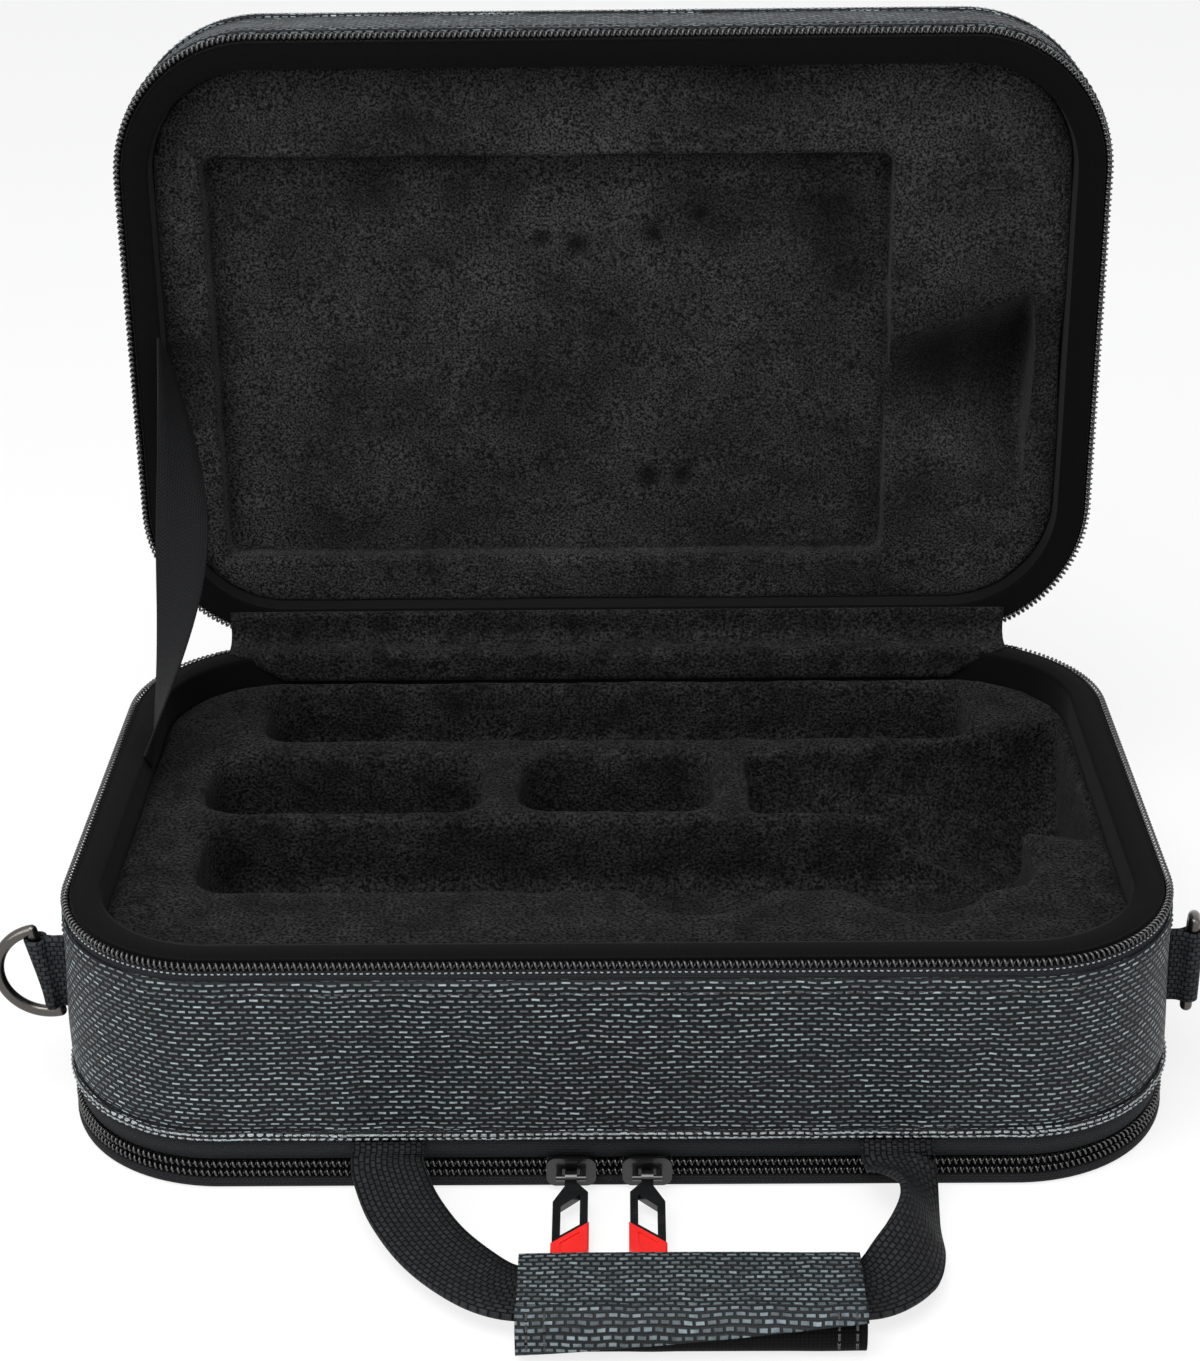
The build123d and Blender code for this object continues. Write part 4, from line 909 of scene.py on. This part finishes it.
left_strap = [
    ((LEFT_X, PIVOT_Y, HANDLE_Z), (1, 0, 0)), ((LEFT_X, PIVOT_Y - 2, HANDLE_Z), (1, 0, 0)),
    ((-68, PIVOT_Y - 7, 12.6), (0.98, 0.2, 0.1)), ((-63, PIVOT_Y - 20, 10.2), (0.85, 0.5, 0.15)),
    ((-54, PIVOT_Y - 35, 8.6), (0.65, 0.75, 0.1)), ((-43, PIVOT_Y - 47, 7.9), (0.4, 0.9, 0.05)),
    ((-33, STRAP_Y + 1.5, 7.4), (0.15, 1, 0)), ((GRIP_LEFT + 6, STRAP_Y, STRAP_Z), (0, 1, 0)),
    ((GRIP_LEFT + 30, STRAP_Y, STRAP_Z), (0, 1, 0))]
right_strap = [
    ((RIGHT_X, PIVOT_Y, HANDLE_Z), (1, 0, 0)), ((RIGHT_X, PIVOT_Y - 2, HANDLE_Z), (1, 0, 0)),
    ((86, PIVOT_Y - 8, 12.4), (0.9, -0.1, -0.4)), ((88.5, PIVOT_Y - 19, 11.6), (0.55, -0.1, -0.8)),
    ((88, PIVOT_Y - 32, 11.3), (0.45, -0.5, -0.75)), ((82.5, PIVOT_Y - 45, 9.5), (0.2, -0.85, -0.4)),
    ((74, STRAP_Y + 2, 7.6), (0.05, -1, -0.1)), ((GRIP_RIGHT - 6, STRAP_Y, STRAP_Z), (0, -1, 0)),
    ((GRIP_RIGHT - 30, STRAP_Y, STRAP_Z), (0, -1, 0))]
strap_webbing = webbing("handle webbing, black", "#38393c", "#030303", 2.2, 1.7)
for word, stations in (("left", left_strap), ("right", right_strap)):
    strap = ribbon(f"handle_strap_{word}", stations, STRAP_W, STRAP_T, strap_webbing, 10)
    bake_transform(strap)
    if word == "left":
        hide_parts("handle_strap")
    x = LEFT_X if word == "left" else RIGHT_X
    stub = [((x, -110.2, 16.4), (1, 0, 0)), ((x, -110.9, 15.0), (1, 0, 0)), ((x, -112.4, 13.9), (1, 0, 0)),
            ((x, PIVOT_Y + 0.6, HANDLE_Z), (1, 0, 0))]
    anchor = ribbon(f"handle_anchor_{word}_webbing", stub, STRAP_W, STRAP_T - 0.4, strap_webbing, 5)
    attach(anchor, "base")
    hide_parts(f"handle_anchor_{word}")


# ---- Handle: padded grip
# A foam pad round the strap in a sleeve of the wall's nylon, lined in black. The sleeve's free edge
# laps over the front and closes on itself, and both its ends are double stitched.

FLAP_GAP, GRIP_FLAP_T, FLAP_LIFT = 0.35, 1.2, 2.2
FLAP_COLUMNS, FLAP_STEPS = 50, 26
FLAP_ARC = slice(22, 44)  # the ring's front, from its top round to its underside


def grip_ring(shrink, count=44):
    """Rounded section of the grip as (y, z), from the middle of its underside round the back."""
    w, h, r = GRIP_W / 2 - shrink, GRIP_H / 2 - shrink, 6.5 - shrink
    points = []
    for quarter, (cy, cz) in enumerate(((w - r, -h + r), (w - r, h - r), (-w + r, h - r), (-w + r, -h + r))):
        for a in np.linspace(-pi / 2 + quarter * pi / 2, quarter * pi / 2, count // 4):
            points.append((GRIP_Y + cy + r * cos(a), GRIP_H / 2 + cz + r * sin(a)))
    return np.array(points)


def grip_tube(name, shrink, left, right, material, swell=0.0, seed=0.0, thick=None, count=40):
    """Sleeve or pad of the grip, with slight swelling between its ends."""
    xs = np.linspace(left, right, count)
    layers = [grip_ring(shrink)] + ([grip_ring(shrink + thick)[::-1]] if thick else [])
    points, coords, faces = [], [], []
    for layer, ring in enumerate(layers):
        around_ring = np.concatenate([[0], np.cumsum(np.hypot(*np.diff(ring, axis=0).T))])
        middle = np.array([GRIP_Y, GRIP_H / 2])
        for x in xs:
            t = (x - left) / (right - left)
            puff = swell * sin(pi * t) ** 0.5 - 0.25 * swell
            for k, (y, z) in enumerate(ring):
                away = (np.array([y, z]) - middle)
                away /= np.linalg.norm(away)
                wave = puff * (0.7 if z > GRIP_H / 2 else 0.0)
                wave += 0.5 * swell * noise.noise((x / 16, around_ring[k] / 14, seed))
                lift = away * wave if z > 1.5 else away * 0
                points.append((x, y + lift[0], z + lift[1]))
                coords.append((x, around_ring[k]))
        faces.append(grid_faces(len(xs), len(ring), layer * len(xs) * len(layers[0]), close=True))
    if thick:
        n, base = len(layers[0]), len(xs) * len(layers[0])
        for row in (0, len(xs) - 1):
            rim = [(row * n + k, row * n + (k + 1) % n, base + row * n + (n - 2 - k) % n, base + row * n + n - 1 - k)
                   for k in range(n)]
            faces.append(np.array(rim))
    made = piece(name, points, np.concatenate(faces), material, coords)
    if not thick:
        cap_ends(made, len(xs), len(ring), len(ring))
    return weld(made)


# the grip's copy of the nylon paints its crest highlights dimmer, on a lighter ground and a slightly different weave
grip_nylon = ballistic_nylon("ballistic nylon, grip, dimmer painted crests", "#87959a", "#17191b", 3.2, 1.9, 0.6)
lining = warp_knit("brushed loop lining, black", "#161616", "#030303", 1.2, 1.2)
foam = crushed_plush("polyether foam, grey", "#101011", "#1d1d1f", 5.0, 0.8)
pad = grip_tube("grip_pad_foam", 1.4, GRIP_LEFT + 5, GRIP_RIGHT - 5, foam)
sleeve = grip_tube("grip_sleeve_nylon", 0.0, GRIP_LEFT, GRIP_RIGHT, grip_nylon, 0.6, 5.0, 1.3)
sleeve.data.materials.append(lining)
for polygon in sleeve.data.polygons:
    polygon.material_index = 1 if polygon.center.y < (GRIP_Y - 8) * MM else 0
for made, node in ((pad, "grip_core"), (sleeve, "grip_wrap")):
    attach(made, "handle")
    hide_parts(node)

ring = grip_ring(-FLAP_GAP)
path = ring[FLAP_ARC]
gone = np.concatenate([[0], np.cumsum(np.hypot(*np.diff(path, axis=0).T))])
FLAP_LEFT_END, FLAP_RIGHT_END = gone[-1] - 7.6, gone[-1] - 17.5
xs = np.linspace(GRIP_LEFT - 0.2, GRIP_RIGHT + 0.2, FLAP_COLUMNS)
points, coords = [], []
for layer in (0.0, GRIP_FLAP_T):
    for x in xs:
        t = (x - xs[0]) / (xs[-1] - xs[0])
        length = FLAP_LEFT_END + (FLAP_RIGHT_END - FLAP_LEFT_END) * t
        for k in range(FLAP_STEPS):
            share = k / (FLAP_STEPS - 1)
            d = length * share
            y, z = np.interp(d, gone, path[:, 0]), np.interp(d, gone, path[:, 1])
            edge = np.array([y - GRIP_Y, z - GRIP_H / 2])
            edge /= np.linalg.norm(edge)
            open_by = FLAP_LIFT * max(0.0, share - 0.6) * (0.3 + t) + layer
            points.append((x, y + edge[0] * open_by, z + edge[1] * open_by))
            coords.append((x, d))
grip_flap = weld(piece("grip_flap_nylon", points, both_sides(FLAP_COLUMNS, FLAP_STEPS), grip_nylon, coords))
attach(grip_flap, "handle")
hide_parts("grip_flap")
section = grip_ring(-FLAP_GAP - GRIP_FLAP_T + 0.05)[24:38]  # over the top and down the front
for number, x in enumerate((GRIP_LEFT + 3.0, GRIP_LEFT + 8.0, GRIP_RIGHT - 8.0, GRIP_RIGHT - 3.0)):
    seam = np.insert(section, 0, x, axis=1)
    row = stitches(f"grip_seam_stitches_{number + 1}", (seam, np.gradient(seam, axis=0)[:, [0, 2, 1]] * (0, -1, 1)),
                   dark_thread, pitch=2.8, length=1.9, radius=0.3)
    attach(row, "handle")


# ---- Zipper sliders and pulls
# Die-cast sliders in black enamel, each with an arched bail. Six-sided wire pulls hang on the bails,
# with red rubber moulded over their far ends.


def enamel(name, code, rough):
    """Baked enamel over die-cast zinc: deep black, glossy, with a slight orange-peel surface."""
    material, tree, shader = surface(name)
    where = add(tree, "ShaderNodeTexCoord").outputs["Object"]
    peel = add(tree, "ShaderNodeTexNoise", {"Vector": where, "Scale": 900.0, "Detail": 2.0}).outputs["Fac"]
    bump = add(tree, "ShaderNodeBump", {"Height": peel, "Distance": 0.03 * MM, "Strength": 0.5})
    scuff = add(tree, "ShaderNodeTexNoise", {"Vector": where, "Scale": 180.0, "Detail": 4.0}).outputs["Fac"]
    dull = add(tree, "ShaderNodeMapRange", {"Value": scuff, "From Min": 0.4, "From Max": 0.7, "To Min": rough,
                                           "To Max": rough + 0.18}).outputs[0]
    add(tree, shader, {"Normal": bump.outputs[0], "Roughness": dull, "Base Color": colour(code), "IOR": 1.5,
                       "Coat Weight": 0.4, "Coat Roughness": 0.12})
    return material


def moulded_rubber(name, code, shade):
    """Soft PVC rubber, moulded in colour: satin, a touch uneven in tone."""
    material, tree, shader = surface(name)
    where = add(tree, "ShaderNodeTexCoord").outputs["Object"]
    cloud = add(tree, "ShaderNodeTexNoise", {"Vector": where, "Scale": 240.0, "Detail": 2.0}).outputs["Fac"]
    tone = add(tree, "ShaderNodeMix", {0: cloud, 6: colour(shade), 7: colour(code)}, data_type="RGBA")
    bump = add(tree, "ShaderNodeBump", {"Height": cloud, "Distance": 0.05 * MM, "Strength": 0.3})
    add(tree, shader, {"Base Color": tone.outputs[2], "Normal": bump.outputs[0], "Roughness": 0.42, "IOR": 1.5})
    return material


black_enamel = enamel("baked black enamel", "#0a0a0b", 0.16)
red_rubber = moulded_rubber("red PVC rubber", "#e8231b", "#d11410")
for place in ("pocket", "main"):
    for word in ("left", "right"):
        for node, material in ((f"{place}_slider_{word}", black_enamel), (f"{place}_pull_{word}", black_enamel),
                               (f"{place}_pull_tip_{word}", red_rubber)):
            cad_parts[node].data.materials.clear()
            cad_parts[node].data.materials.append(material)


# ---- Foam trays and pocket board
# Closed-cell foam under all the fabric, which shows only in the gaps, and the pocket's board, whose
# nylon face is what the case stands on.

tray_foam = crushed_plush("closed-cell foam, charcoal", "#0d0d0e", "#1a1a1c", 4.0, 0.6)
board_nylon = crushed_plush("fine nylon over board", "#141517", "#26292c", 3.0, 0.9)
for node, material in (("base_shell", tray_foam), ("lid_shell", tray_foam), ("pocket_panel", board_nylon)):
    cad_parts[node].data.materials.clear()
    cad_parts[node].data.materials.append(material)
